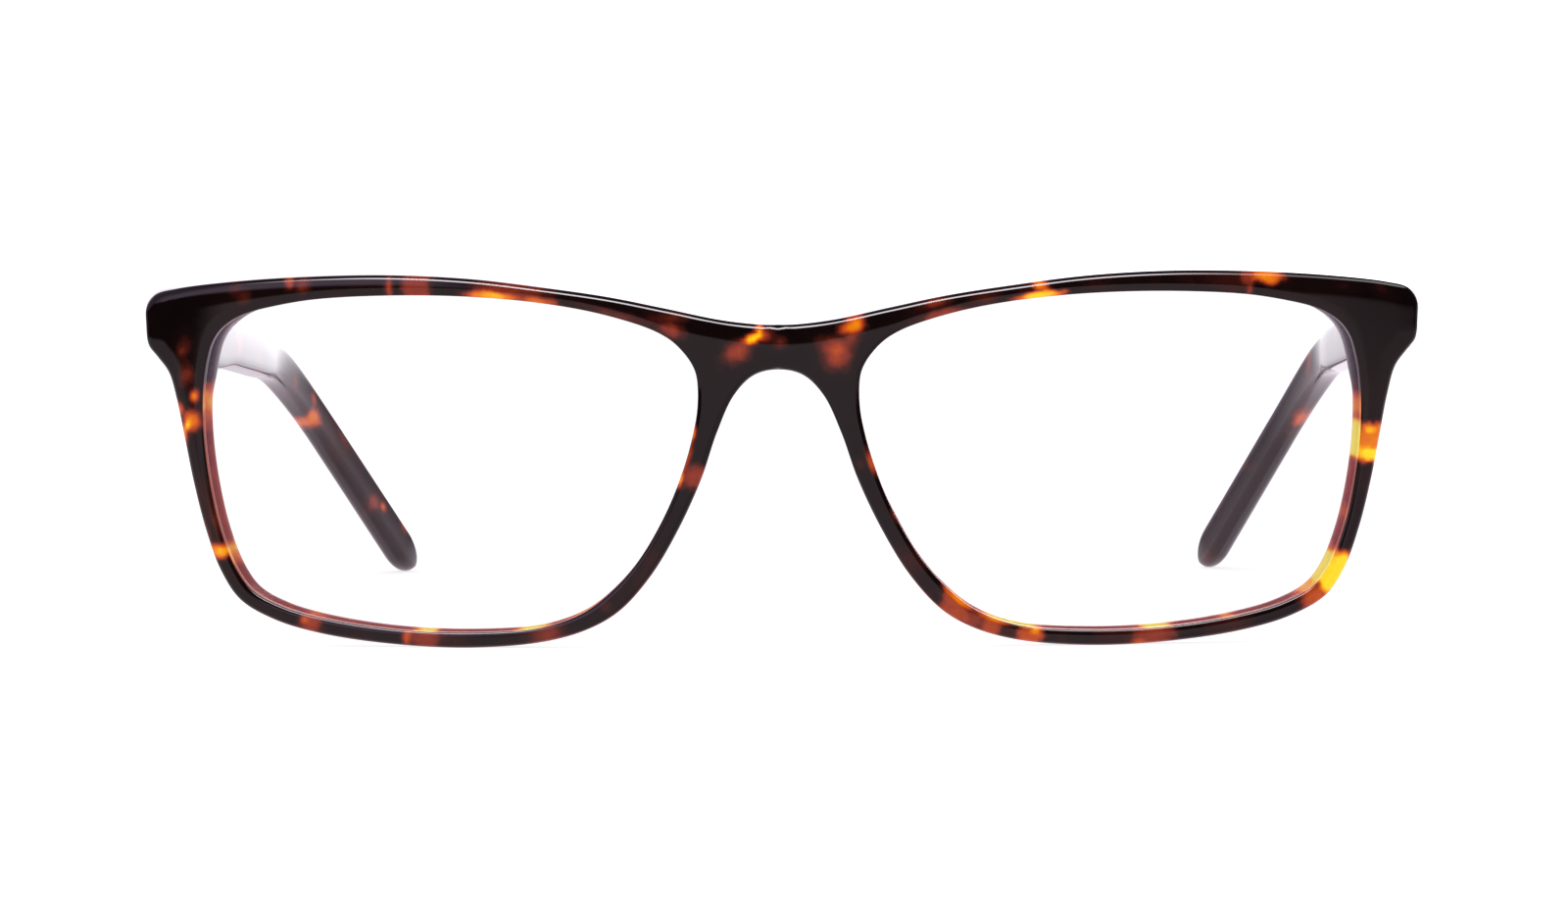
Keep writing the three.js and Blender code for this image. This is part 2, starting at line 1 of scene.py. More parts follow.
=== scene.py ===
"""Looks of the eyeglasses frame: tortoise acetate front and temples, lenses, pads and hinges.

Lengths in the geometry code are millimetres in the part's own design frame. They become
metres in the row frame when a mesh is made. "left" and "right" are the wearer's, so the left
side is +X, written as side +1.
"""

import json
import math

import bmesh
import bpy
import numpy as np
from mathutils import Matrix, Vector, noise


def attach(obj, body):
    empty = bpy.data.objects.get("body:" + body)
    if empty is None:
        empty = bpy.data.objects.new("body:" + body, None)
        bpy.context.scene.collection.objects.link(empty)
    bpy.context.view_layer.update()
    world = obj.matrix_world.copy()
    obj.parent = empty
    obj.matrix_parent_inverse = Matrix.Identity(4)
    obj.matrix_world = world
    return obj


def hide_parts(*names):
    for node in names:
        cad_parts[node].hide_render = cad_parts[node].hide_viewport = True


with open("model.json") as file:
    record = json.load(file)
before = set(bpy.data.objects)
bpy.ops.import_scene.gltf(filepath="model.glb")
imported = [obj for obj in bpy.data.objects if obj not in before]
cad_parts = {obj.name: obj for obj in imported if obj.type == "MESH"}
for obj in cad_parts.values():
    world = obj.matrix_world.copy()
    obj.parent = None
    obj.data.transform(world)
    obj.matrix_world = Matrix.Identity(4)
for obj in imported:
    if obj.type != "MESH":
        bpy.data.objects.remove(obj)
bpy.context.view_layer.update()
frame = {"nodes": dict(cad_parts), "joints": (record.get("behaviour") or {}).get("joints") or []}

MM = 0.001
SIDES = {"left": 1, "right": -1}

# ---- driving dimensions
THICKNESS = 3.8
BEND_RADIUS = 280.0
TILT = math.radians(4.4)
DATUM_HEIGHT = 20.05

OUTER_ROUND = (0.75, 0.58)  # width and depth of the quarter ellipse round the outer edge
CROWN_WIDTH = 2.3  # the face starts to fall away this far from the outer edge
CROWN_SLOPE = 0.16  # slope of the crown where it meets the outer edge
LIP_ROUND = (0.85, 0.32)
BACK_ROUND = (0.55, 0.42)
GROOVE_DEPTH = 0.7
GROOVE_DEPTHS = (1.1, 1.9, 2.7)
END_PLANE_DEPTH = 11.6
END_FLARE = 0.9
# Stretches, outwards and upwards, over which the end piece gets its flat back, its flare and
# its darker ground, painted shade for the little light that shines through the thick end piece.
# The ground also darkens towards the bridge.
FLAT_U, FLAT_V = (56, 61), (5.5, 9)
FLARE_U, FLARE_V = (62.8, 67), (5, 10)
DARK_U, DARK_V = (58.5, 63.0), (5.0, 12.0)
BRIDGE_DARK_U = (9.0, 14.0)

HINGE_AXIS_X = 62.5
BEHIND_END_PIECE = 2.0
TEMPLE_SLOPE = math.radians(4.5)
FLAT_LEAN = TILT + TEMPLE_SLOPE
BUTT_GAP = 0.15

# Half of the front's outline in sheet coordinates (u outwards, v upwards), with the point of
# the lens opening that faces each outline point: outline u, v, opening u, v.
STATIONS = [
    (0, 9.65, 9.3, 10.5), (2.6, 9.05, 8.72, 9.1), (4.75, 6.9, 8.6, 6.0), (6.6, 2.9, 9.15, 2.7),
    (8.3, -2.0, 10.5, -1.8), (10.8, -7.4, 12.5, -6.4), (13.8, -12.4, 15.3, -11.0),
    (17.1, -16.1, 18.3, -14.3), (20.3, -18.05, 21.1, -16.35), (25, -19.5, 25.5, -17.95),
    (33, -20.3, 33, -18.6), (42, -20.05, 41.8, -18.4), (50, -19.05, 49.7, -17.35),
    (55.2, -17.65, 54.3, -16.15), (58.95, -15.6, 57.5, -14.5), (61.05, -12.6, 59.3, -12.1),
    (62.65, -8.3, 60.85, -8.2), (63.95, -3.2, 62.0, -3.2), (64.9, 1.7, 62.6, 1.8),
    (65.75, 6.0, 62.65, 6.0), (66.6, 8.9, 62.4, 8.6), (67.9, 10.6, 62.05, 10.4),
    (68.85, 11.8, 61.6, 11.9), (69.1, 14, 61.0, 13.0), (69.0, 16.0, 60.2, 13.9),
    (68.0, 17.25, 58.9, 14.8), (65.5, 17.95, 57.3, 15.5), (59, 18.8, 54.6, 16.2),
    (51, 19.4, 50, 17.0), (42, 19.65, 42, 17.5), (33, 19.3, 33.4, 17.45),
    (25, 18.4, 25.8, 16.85), (18, 17.4, 19.3, 15.75), (12, 16.2, 14.0, 14.2),
    (6, 14.95, 12.1, 13.3), (2, 14.47, 11.1, 12.6), (0, 14.42, 10.15, 11.65),
]
LAST = len(STATIONS) - 1
COLUMN_SPACING = 0.35  # of the mesh columns round the rim

# ---- tortoise pattern
# Amber patches, -1 for the wearer's right side and 1 for the left. Level 0 is black-brown,
# 0.5 red-brown, 0.75 orange and 1 yellow.
# Of the rims: (station, share of the way from the outer edge to the opening, half length along
# the rim, half length across it, lean in degrees, level, softness).
RIM_PATCHES = {-1: [
    (21.85, 0.6, 1.5, 0.9, 0, 0.34, 0.95), (21.6, 0.55, 0.6, 0.5, 0, 0.37, 0.95),
    (20.0, 0.52, 1.4, 1.0, 0, 0.4, 0.85), (19.15, 0.72, 0.75, 0.65, 0, 0.74, 0.7),
    (18.75, 0.1, 0.9, 0.6, 0, 0.62, 0.8), (18.45, 0.55, 1.2, 1.2, 15, 0.76, 0.55),
    (18.35, 0.32, 0.8, 0.5, 20, 0.94, 0.8), (18.15, 0.05, 1.3, 0.6, 0, 0.74, 0.7),
    (16.2, 0.85, 2.4, 0.5, 0, 0.33, 0.8), (16.0, 0.2, 1.6, 0.6, 0, 0.32, 0.8),
    (15.54, 0.25, 0.85, 0.9, -15, 0.76, 0.5), (15.5, 0.75, 0.75, 0.9, -15, 0.84, 0.55),
    (12.2, 0.5, 1.5, 1.6, 0, 0.5, 0.6), (12.35, 0.7, 0.6, 0.6, 0, 0.62, 0.8),
    (10.6, 0.5, 1.9, 1.8, 0, 0.46, 0.5), (10.82, 0.6, 0.5, 1.4, 0, 0.62, 0.7),
    (8.95, 0.5, 2.2, 1.6, 0, 0.42, 0.7), (7.3, 0.6, 0.8, 0.8, 0, 0.26, 0.8),
    (3.95, 0.35, 1.7, 1.4, 10, 0.48, 0.4), (4.05, 0.95, 0.8, 0.3, 0, 0.8, 0.7),
    (3.6, 0.95, 2.4, 0.35, 0, 0.52, 0.6), (2.95, 0.97, 1.2, 0.3, 0, 0.68, 0.7),
    (32.4, 0.85, 4.4, 0.6, 0, 0.38, 0.8), (30.6, 0.35, 4.8, 0.9, 0, 0.42, 0.4),
    (30.36, 0.85, 2.9, 0.55, 0, 0.88, 0.6), (31.0, 0.9, 2.2, 0.5, 0, 0.7, 0.6),
    (29.05, 0.6, 0.45, 1.6, 0, 0.52, 0.6), (29.38, 0.5, 1.75, 2.6, 0, 0.46, 0.25),
    (27.78, 0.15, 0.6, 1.0, 0, 0.58, 0.6), (27.95, 0.3, 1.1, 1.0, 0, 0.38, 0.5),
    (26.9, 0.25, 0.9, 0.9, 0, 0.28, 0.8), (26.78, 0.55, 1.0, 0.9, 0, 0.32, 0.8),
], 1: [
    (27.8, 0.2, 1.7, 0.95, 0, 0.78, 0.4), (28.08, 0.25, 1.0, 1.0, 0, 0.46, 0.5),
    (27.98, 0.8, 0.5, 1.0, 0, 0.46, 0.7), (26.45, 0.3, 1.9, 1.0, 0, 0.19, 0.95),
    (25.6, 0.2, 1.6, 1.0, 0, 0.22, 0.95), (17.85, 0.5, 1.9, 2.4, -3, 0.74, 0.22),
    (17.55, 0.5, 0.9, 1.9, -3, 0.97, 0.45), (18.08, 0.6, 0.45, 0.8, 0, 0.84, 0.6),
    (17.5, 0.05, 1.1, 0.4, 0, 0.8, 0.6), (15.1, 0.3, 1.5, 0.8, 0, 0.8, 0.5),
    (14.8, 0.6, 2.5, 1.7, 0, 1.0, 0.35), (14.35, 0.3, 1.2, 1.2, 20, 0.9, 0.6),
    (13.75, 0.5, 1.8, 1.7, 0, 0.62, 0.5), (10.75, 0.5, 2.6, 2.0, 0, 0.46, 0.35),
    (10.6, 0.2, 1.2, 0.5, 0, 0.54, 0.8), (9.2, 0.5, 1.5, 2.2, 0, 0.6, 0.3),
    (9.25, 0.85, 0.7, 0.6, 0, 0.78, 0.7), (8.45, 0.5, 1.2, 2.0, 0, 0.52, 0.35),
    (7.95, 0.5, 1.3, 1.6, 0, 0.46, 0.5), (7.3, 0.4, 2.1, 1.7, 0, 0.53, 0.3),
    (7.35, 0.97, 2.2, 0.45, 0, 0.72, 0.4), (8.4, 0.95, 2.2, 0.4, 0, 0.64, 0.5),
    (3.65, 0.92, 1.4, 0.4, 0, 0.62, 0.6), (3.7, 0.4, 1.0, 0.8, 0, 0.26, 0.8),
    (4.9, 0.95, 1.1, 0.35, 0, 0.38, 0.7), (30.66, 0.2, 0.9, 0.9, 0, 0.76, 0.6),
    (30.68, 0.85, 2.2, 0.55, 0, 1.0, 0.5), (30.95, 0.9, 1.6, 0.5, 0, 0.66, 0.7),
    (32.25, 0.25, 1.8, 0.6, 0, 0.42, 0.7), (32.3, 0.9, 2.8, 0.55, 0, 0.5, 0.6),
    (31.5, 0.6, 1.8, 0.9, 0, 0.3, 0.8),
]}
# Of the bridge, where the sheet is wide: (u, v, half length, half width, turn in degrees from
# the u axis, level, softness).
BRIDGE_PATCHES = {-1: [
    (2.6, 13.05, 1.15, 0.5, -24, 1.0, 0.55), (2.0, 13.95, 0.4, 0.8, 0, 0.88, 0.6),
    (1.5, 13.3, 1.0, 0.9, 0, 0.5, 0.9), (4.5, 11.55, 1.7, 1.3, -35, 0.5, 0.7),
    (3.4, 12.3, 1.4, 0.8, -35, 0.42, 0.9), (11.3, 13.9, 1.5, 1.0, 20, 0.46, 0.6),
    (11.3, 15.3, 2.2, 0.8, 0, 0.34, 0.8),
], 1: [
    (7.9, 14.2, 1.4, 0.85, 10, 0.78, 0.6), (8.3, 14.9, 1.1, 0.8, 0, 0.64, 0.7),
    (6.3, 11.9, 1.5, 1.2, 0, 0.54, 0.9), (6.1, 10.9, 1.7, 1.5, 20, 0.5, 0.75),
    (5.2, 12.2, 1.5, 1.2, 0, 0.42, 0.9), (7.6, 12.9, 1.6, 1.1, 45, 0.44, 0.9),
    (0.3, 12.6, 1.0, 0.8, 0, 0.36, 0.9),
]}
# Of the walls of the lens openings: (station, half length, level, softness).
WALL_PATCHES = {-1: [
    (18.95, 1.6, 0.74, 0.5), (15.35, 1.3, 0.72, 0.5), (10.62, 1.4, 0.97, 0.35),
    (9.2, 2.2, 0.95, 0.4), (8.0, 2.8, 0.72, 0.6), (12.2, 1.6, 0.52, 0.6), (4.0, 1.0, 0.72, 0.6),
    (30.5, 3.5, 0.8, 0.5),
], 1: [
    (18.65, 1.3, 0.74, 0.4), (17.85, 2.3, 1.0, 0.3), (16.3, 1.0, 0.55, 0.6),
    (14.8, 2.2, 0.97, 0.4), (13.9, 1.5, 0.76, 0.6), (11.8, 1.1, 0.74, 0.6),
    (10.85, 2.0, 0.97, 0.4), (8.8, 3.8, 0.96, 0.4), (7.3, 2.2, 0.66, 0.4), (30.6, 2.6, 0.9, 0.5),
]}
# Of the temples: (distance from the end piece, height on the section, half length, half height,
# turn in degrees, level, softness).
TEMPLE_PATCHES = {-1: [
    (97.4, -1.7, 2.3, 1.3, 12, 0.74, 0.55), (96.0, 0.2, 1.2, 0.8, 0, 0.54, 0.8),
    (95.2, 0.4, 1.3, 1.2, 0, 0.42, 0.9), (106.0, 0.6, 2.0, 0.9, 0, 0.36, 0.9),
    (116.4, -0.9, 2.0, 1.2, 25, 0.5, 0.9), (118.6, -0.1, 1.0, 0.7, 20, 0.74, 0.7),
    (124.4, 1.4, 1.3, 0.9, 0, 0.52, 0.8), (76.0, 0.8, 3.5, 1.5, 30, 0.3, 0.9),
    (60.0, -0.9, 2.6, 1.2, -25, 0.44, 0.8), (44.0, 0.4, 3.2, 1.9, 35, 0.6, 0.8),
    (42.0, 1.1, 1.4, 0.7, 20, 0.9, 0.7), (29.0, -1.2, 2.2, 1.2, 0, 0.5, 0.8),
    (15.0, 0.9, 2.8, 1.6, -30, 0.66, 0.7), (7.0, -1.5, 1.8, 1.0, 20, 0.46, 0.8),
    (88.0, -0.8, 2.0, 1.0, 0, 0.4, 0.9),
], 1: [
    (97.0, -2.6, 3.6, 0.7, 0, 0.52, 0.8), (103.5, 2.2, 1.6, 0.8, 0, 0.4, 0.9),
    (97.8, -2.7, 1.8, 0.5, 0, 0.62, 0.7), (128.0, -1.4, 1.8, 1.0, 0, 0.36, 0.9),
    (121.0, 1.6, 1.8, 0.9, 0, 0.34, 0.9), (86.0, 0.6, 2.6, 1.5, -20, 0.5, 0.9),
    (71.0, -0.8, 2.4, 1.3, 30, 0.42, 0.9), (69.0, -0.2, 1.0, 0.6, 30, 0.48, 0.8),
    (55.0, 1.0, 3.0, 1.3, -30, 0.52, 0.8), (39.0, -0.6, 2.6, 1.6, 25, 0.66, 0.7),
    (24.0, 0.8, 2.4, 1.4, -20, 0.8, 0.7), (12.0, -1.0, 2.6, 1.3, 30, 0.5, 0.8),
    (5.0, 1.6, 1.6, 0.9, 0, 0.62, 0.8), (112.0, 0.4, 2.0, 1.0, 30, 0.3, 0.9),
]}


# ---- small maths
def smoothstep(x, low, high):
    t = np.clip((x - low) / (high - low), 0, 1)
    return t * t * (3 - 2 * t)


def easing(distance, width, depth):
    """Quarter ellipse: how far a face falls at a distance from its edge."""
    share = 1 - np.minimum(distance / width, 1)
    return depth * (1 - np.sqrt(1 - share * share))


def catmull_rom(points, closed):
    """Centripetal Catmull-Rom curve through points, as a function of the point number."""
    points = np.array(points, float)
    count = len(points)

    def at(t):
        t = np.atleast_1d(np.asarray(t, float))
        index = np.floor(t).astype(int)
        if not closed:
            index = np.clip(index, 1, count - 2)
        part = (t - index)[:, None]
        near = [index + k for k in (-1, 0, 1, 2)]
        near = [k % count if closed else np.minimum(k, count - 1) for k in near]
        p0, p1, p2, p3 = (points[k] for k in near)
        d0, d1, d2 = (
            np.maximum(np.sum((b - a) ** 2, 1, keepdims=True) ** 0.25, 1e-4)
            for a, b in ((p0, p1), (p1, p2), (p2, p3))
        )
        t1 = ((p1 - p0) / d0 - (p2 - p0) / (d0 + d1) + (p2 - p1) / d1) * d1
        t2 = ((p2 - p1) / d1 - (p3 - p1) / (d1 + d2) + (p3 - p2) / d2) * d1
        c2 = -3 * p1 + 3 * p2 - 2 * t1 - t2
        c3 = 2 * p1 - 2 * p2 + t1 + t2
        return p1 + t1 * part + c2 * part**2 + c3 * part**3

    return at


def distance_to_line(points, line):
    """Distance of 2-D points to a fine polyline, worked out in blocks to save memory."""
    block = 4000
    start, step = line[:-1], np.diff(line, axis=0)
    length2 = np.maximum(np.sum(step * step, 1), 1e-12)
    result = np.empty(len(points))
    for i in range(0, len(points), block):
        offset = points[i : i + block, None, :] - start[None]
        t = np.clip(np.sum(offset * step[None], 2) / length2, 0, 1)
        gap = offset - t[..., None] * step[None]
        result[i : i + block] = np.sqrt(np.min(np.sum(gap * gap, 2), 1))
    return result


def noise_at(points, scale, seed):
    """Smooth noise of about -1 to 1 at points in millimetres."""
    shift = Vector((seed * 17.3, seed * 5.1, seed * 9.7))
    return np.array([noise.noise(Vector(p) * scale + shift) for p in points])


# ---- row frame
left_fold = next(j for j in frame["joints"] if j["name"] == "left_temple_fold")
HINGE_ROW = np.array(left_fold["pos_m"]) / MM


def place(u, v, h, offset=0.0):
    """Points of the bent sheet: u round the bend, v up the sheet, h back from its face."""
    radius = BEND_RADIUS - h
    x = radius * np.sin(u / BEND_RADIUS)
    y = BEND_RADIUS - radius * np.cos(u / BEND_RADIUS)
    c, s = math.cos(TILT), math.sin(TILT)
    return np.stack([x, c * y - s * v, s * y + c * v + DATUM_HEIGHT], -1) + offset


BUTT_V = 14.1
hinge_design = place(0.0, BUTT_V, 0.0) + np.array([
    HINGE_AXIS_X,
    math.cos(TILT) * END_PLANE_DEPTH + BEHIND_END_PIECE * math.cos(TEMPLE_SLOPE),
    math.sin(TILT) * END_PLANE_DEPTH - BEHIND_END_PIECE * math.sin(TEMPLE_SLOPE),
])
ROW_OFFSET = HINGE_ROW - hinge_design


def from_hinge_space(points, side):
    """Hinge space to the row frame: x outwards, y back along the temple, z up the axis."""
    c, s = math.cos(TEMPLE_SLOPE), math.sin(TEMPLE_SLOPE)
    x, y, z = np.asarray(points, float).T
    turned = np.stack([x, y * c + z * s, z * c - y * s], -1) + HINGE_ROW
    turned[:, 0] *= side
    return turned


# ---- meshes
def in_scene(name, data):
    """A new object with this data, linked to the scene."""
    thing = bpy.data.objects.new(name, data)
    bpy.context.scene.collection.objects.link(thing)
    return thing


def make_piece(name, points, faces, material, body, replaced, attributes=None, sharp=None):
    """A closed mesh from points in millimetres of the row frame, riding on a body."""
    mesh = bpy.data.meshes.new(name)
    mesh.from_pydata((np.asarray(points) * MM).tolist(), [], [list(map(int, f)) for f in faces])
    shape = bmesh.new()
    shape.from_mesh(mesh)
    bmesh.ops.recalc_face_normals(shape, faces=shape.faces)
    shape.to_mesh(mesh)
    shape.free()
    for key, values in (attributes or {}).items():
        layer = mesh.attributes.new(key, "FLOAT", "POINT")
        layer.data.foreach_set("value", np.asarray(values, np.float32))
    mesh.polygons.foreach_set("use_smooth", [True] * len(mesh.polygons))
    if sharp is not None:
        mesh.set_sharp_from_angle(angle=math.radians(sharp))
    mesh.materials.append(material)
    piece = in_scene(name, mesh)
    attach(piece, body)
    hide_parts(replaced)
    return piece


def band_faces(rings, count, closed=False):
    """Quads between rings of count points, and from the last ring to the first if closed."""
    faces = []
    for i in range(rings if closed else rings - 1):
        here, there = i * count, (i + 1) % rings * count
        for k in range(count):
            following = (k + 1) % count
            faces.append((here + k, here + following, there + following, there + k))
    return faces


def capped(rings):
    """Points and faces of a tube through rings, closed by a fan at each end."""
    count = len(rings[0])
    points = np.concatenate(rings)
    faces = band_faces(len(rings), count)
    first, last = len(points), len(points) + 1
    points = np.concatenate([points, rings[0].mean(0)[None], rings[-1].mean(0)[None]])
    offset = (len(rings) - 1) * count
    for k in range(count):
        following = (k + 1) % count
        faces.append((first, following, k))
        faces.append((last, offset + k, offset + following))
    return points, faces


# ---- outline curves
outline_points = [(u, v) for u, v, _, _ in STATIONS]
before_first = (-outline_points[1][0], outline_points[1][1])
after_last = (-outline_points[-2][0], outline_points[-2][1])
outline_curve = catmull_rom([before_first, *outline_points, after_last], False)
opening_curve = catmull_rom([(a, b) for _, _, a, b in STATIONS], True)


def outline_at(station):
    return outline_curve(np.asarray(station, float) + 1)


def opening_at(station):
    return opening_curve(np.asarray(station, float))


LINE_STEPS = 24  # of the polylines, from station to station
FINE_STEPS = 100  # of the line along which the mesh columns are spaced
OUTLINE_LINE = outline_at(np.linspace(0, LAST, LAST * LINE_STEPS + 1))
OPENING_LINE = opening_at(np.linspace(0, LAST + 1, (LAST + 1) * LINE_STEPS + 1))


def across_rim(edge, lip):
    """Width of the rim and the direction across it, from its outline to its opening."""
    width = np.linalg.norm(lip - edge, axis=1)
    return width, (lip - edge) / width[:, None]


def rim_columns(spacing):
    """Outline and opening points at an even spacing round the rim, then those of the columns
    down the middle of the bridge, and which of them are in the bridge."""
    fine = np.linspace(0, LAST, LAST * FINE_STEPS + 1)
    edge, lip = outline_at(fine), opening_at(fine)
    travel = np.maximum(
        np.linalg.norm(np.diff(edge, axis=0), axis=1), np.linalg.norm(np.diff(lip, axis=0), axis=1)
    )
    length = np.concatenate([[0], np.cumsum(travel)])
    count = int(length[-1] / spacing)
    stations = np.interp(np.linspace(0, length[-1], count + 1), length, fine)
    edge, lip = outline_at(stations), opening_at(stations)
    top, bottom = outline_at([LAST])[0], outline_at([0])[0]
    shares = np.linspace(0, 1, int(np.linalg.norm(top - bottom) / spacing) + 2)[1:-1]
    middle = top + shares[:, None] * (bottom - top)
    edge = np.concatenate([edge, middle])
    lip = np.concatenate([lip, opening_at(LAST + shares)])
    return edge, lip, np.arange(len(edge)) > count


def back_depth(u, v):
    """Depth of the back of the sheet, which runs out to a flat plane at the end pieces."""
    plane = BEND_RADIUS - (BEND_RADIUS - END_PLANE_DEPTH) / np.cos(u / BEND_RADIUS)
    share = smoothstep(u, *FLAT_U) * smoothstep(v, *FLAT_V)
    return THICKNESS + (plane - THICKNESS) * share


# ---- tortoise level
# Levels of the ground, with painted light: thin parts are lighter, as a little more light shines
# through them than through thick ones.
THIN_GROUND = 0.165
THICK_GROUND = 0.05
BRIDGE_DARKNESS = 0.8  # the share of the way to the thick ground that the bridge goes
MOTTLE = 0.12  # the clouds of the ground are this much lighter
# Painted light: the walls of the openings are lighter low down, where light from the table below
# shines into them, and darker higher up.
WALL_GROUND_LOW = 0.30
WALL_GROUND_HIGH = 0.08
SLANT = (0.12, -0.08)  # u and v at which the pattern is read move so, per millimetre of depth
# Painted glow: the thin outer edge gets an amber level for the light that shines through it.
EDGE_GLOW = 0.62  # level of the thin outer edge, which lights up amber
EDGE_GLOW_WIDTH = 0.13
NO_GLOW_V = (15.5, 17.5)  # the glow ends on the way to the top edge
GLOW_U = (9.0, 16.0)  # and starts on the way out from the bridge


def fading(radius, peak, softness):
    """Level of a patch that has fallen to half at radius 1."""
    return peak * np.exp(-math.log(2) * np.maximum(radius, 0) ** (1.6 / softness))


def merged(levels):
    """Smooth maximum of levels."""
    return np.sum(np.stack(levels) ** 4, 0) ** 0.25


def patch_level(x, y, half_x, half_y, degrees, peak, softness, wobble):
    """Level of one elliptical patch at points x, y measured from its centre."""
    c, s = math.cos(math.radians(degrees)), math.sin(math.radians(degrees))
    along, across = x * c + y * s, y * c - x * s
    radius = np.sqrt((along / half_x) ** 2 + (across / half_y) ** 2) * (1 + wobble)
    return fading(radius, peak, softness)


def mottled(ground, mottle):
    """Ground with its lighter clouds."""
    return ground + MOTTLE * np.clip(mottle, 0, 1) ** 1.2


def front_level(side, u, v, h, wall):
    """Tortoise level of points of the front, 0 to 1."""
    spots = np.stack([side * u, v, h], -1)
    wobble = 0.28 * noise_at(spots, 0.7, 1) + 0.16 * noise_at(spots, 1.9, 2)
    # Painted shade: the ground is darker on the thick end piece, where less light shines through.
    thick = smoothstep(u, *DARK_U) * smoothstep(v, *DARK_V)
    thick = np.maximum(thick, BRIDGE_DARKNESS * (1 - smoothstep(u, *BRIDGE_DARK_U)))
    ground = THIN_GROUND + (THICK_GROUND - THIN_GROUND) * thick
    levels = [mottled(ground, noise_at(spots, 0.16, 3))]
    shifted_u, shifted_v = u + SLANT[0] * h, v + SLANT[1] * h
    for station, share, along, across, lean, peak, softness in RIM_PATCHES[side]:
        edge, lip = outline_at([station])[0], opening_at([station])[0]
        centre = edge + share * (lip - edge)
        tangent = opening_at([station + 0.05])[0] - opening_at([station - 0.05])[0]
        turn = math.degrees(math.atan2(tangent[1], tangent[0])) + lean
        x, y = shifted_u - centre[0], shifted_v - centre[1]
        levels.append(patch_level(x, y, along, across, turn, peak, softness, wobble))
    for patch_side, patches in BRIDGE_PATCHES.items():
        own_u = u if patch_side == side else -u
        for centre_u, centre_v, *patch in patches:
            levels.append(patch_level(own_u - centre_u, shifted_v - centre_v, *patch, wobble))
    # Wall ground with painted light: lighter low down, darker above.
    wall_ground_and_light = WALL_GROUND_LOW + (WALL_GROUND_HIGH - WALL_GROUND_LOW) * smoothstep(v, 2.0, 8.0)
    wall_levels = [wall_ground_and_light + 0.06 * noise_at(spots, 0.5, 4)]
    for station, along, peak, softness in WALL_PATCHES[side]:
        near = opening_at([station])[0]
        radius = np.hypot(u - near[0], v - near[1]) / along * (1 + 0.5 * wobble)
        wall_levels.append(fading(radius, peak, softness))
    level = merged(levels)
    lit = merged([0.9 * level] + wall_levels)
    return level + (lit - level) * wall


# ---- the front
SLIM = 1.75  # columns narrower than this have their edge rows squeezed together
OUTER_BAND = 0.85  # width of the closely spaced rows at the outer edge
LIP_BAND = 0.8  # and at the opening
BAND_STEPS = 12
MIDDLE_ROWS = 14
SIDE_ROWS = 8  # down the outer side of the sheet
# Rows down the wall of the opening: depth, distance into the lens groove.
WALL_ROWS = np.array([
    *[(GROOVE_DEPTHS[0] * k / 3, 0) for k in (1, 2, 3)],
    (1.5, GROOVE_DEPTH / 2), (GROOVE_DEPTHS[1], GROOVE_DEPTH), (2.3, GROOVE_DEPTH / 2),
    (GROOVE_DEPTHS[2], 0), (3.0, 0), (THICKNESS - 0.5, 0),
])


def front_rows_of(width):
    """Distances from the outer edge, for each column, close together at both edges."""
    scale = np.minimum(1, width / SLIM)[:, None]
    steps = np.arange(BAND_STEPS + 1) / BAND_STEPS
    outer = OUTER_BAND * steps**1.5 * scale
    inner = LIP_BAND * steps**1.4 * scale
    shares = (np.arange(1, MIDDLE_ROWS + 1) / (MIDDLE_ROWS + 1))[None]
    start, end = outer[:, -1:], width[:, None] - inner[:, -1:]
    middle = start + shares * (end - start)
    return np.concatenate([outer, middle, width[:, None] - inner[:, ::-1]], 1)


def front_drop(points):
    """Fall of the front face below the sheet's face: crown, outer edge and lip."""
    outer = distance_to_line(points, OUTLINE_LINE)
    lip = distance_to_line(points, OPENING_LINE)
    into_crown = np.clip(CROWN_WIDTH - outer, 0, None)
    crown = CROWN_SLOPE * into_crown**2 / (2 * CROWN_WIDTH)
    return crown + easing(outer, *OUTER_ROUND) + easing(lip, *LIP_ROUND)


def edge_glow(rows, edge):
    """Level of the thin outer edge, a painted glow of light shining through it, which is dark
    only on top and round the bridge.
    """
    not_on_top = 1 - smoothstep(edge[:, 1], *NO_GLOW_V)
    away_from_bridge = smoothstep(edge[:, 0], *GLOW_U)
    glow = np.exp(-(rows / EDGE_GLOW_WIDTH) ** 2)
    return glow * (EDGE_GLOW * not_on_top * away_from_bridge)[:, None]


def wall_depths(lip):
    """Depths of the wall rows, where those behind the groove follow the back of the sheet."""
    depths = WALL_ROWS[:, 0]
    behind_groove = depths > GROOVE_DEPTHS[2] + 0.1
    deeper = back_depth(lip[:, 0], lip[:, 1]) - THICKNESS
    return depths[None] + behind_groove * deeper[:, None] * 0.5


def back_face(points):
    """u and depth of the back face at points of the sheet, with eased edges and flared ends."""
    u, v = points.T
    ease = easing(distance_to_line(points, OUTLINE_LINE), *BACK_ROUND)
    ease += easing(distance_to_line(points, OPENING_LINE), *BACK_ROUND)
    flare = END_FLARE * smoothstep(u, *FLARE_U) * smoothstep(v, *FLARE_V)
    return u + flare, back_depth(u, v) - ease


def half_faces(count, in_bridge):
    """Quads round the section of each column, without the side on the plane of symmetry."""
    faces = np.array(band_faces(len(in_bridge), count, closed=True)).reshape(-1, count, 4)
    on_symmetry_plane = in_bridge | np.roll(in_bridge, -1)
    open_side = np.arange(count) >= count - SIDE_ROWS - 1
    return faces[~(on_symmetry_plane[:, None] & open_side)]


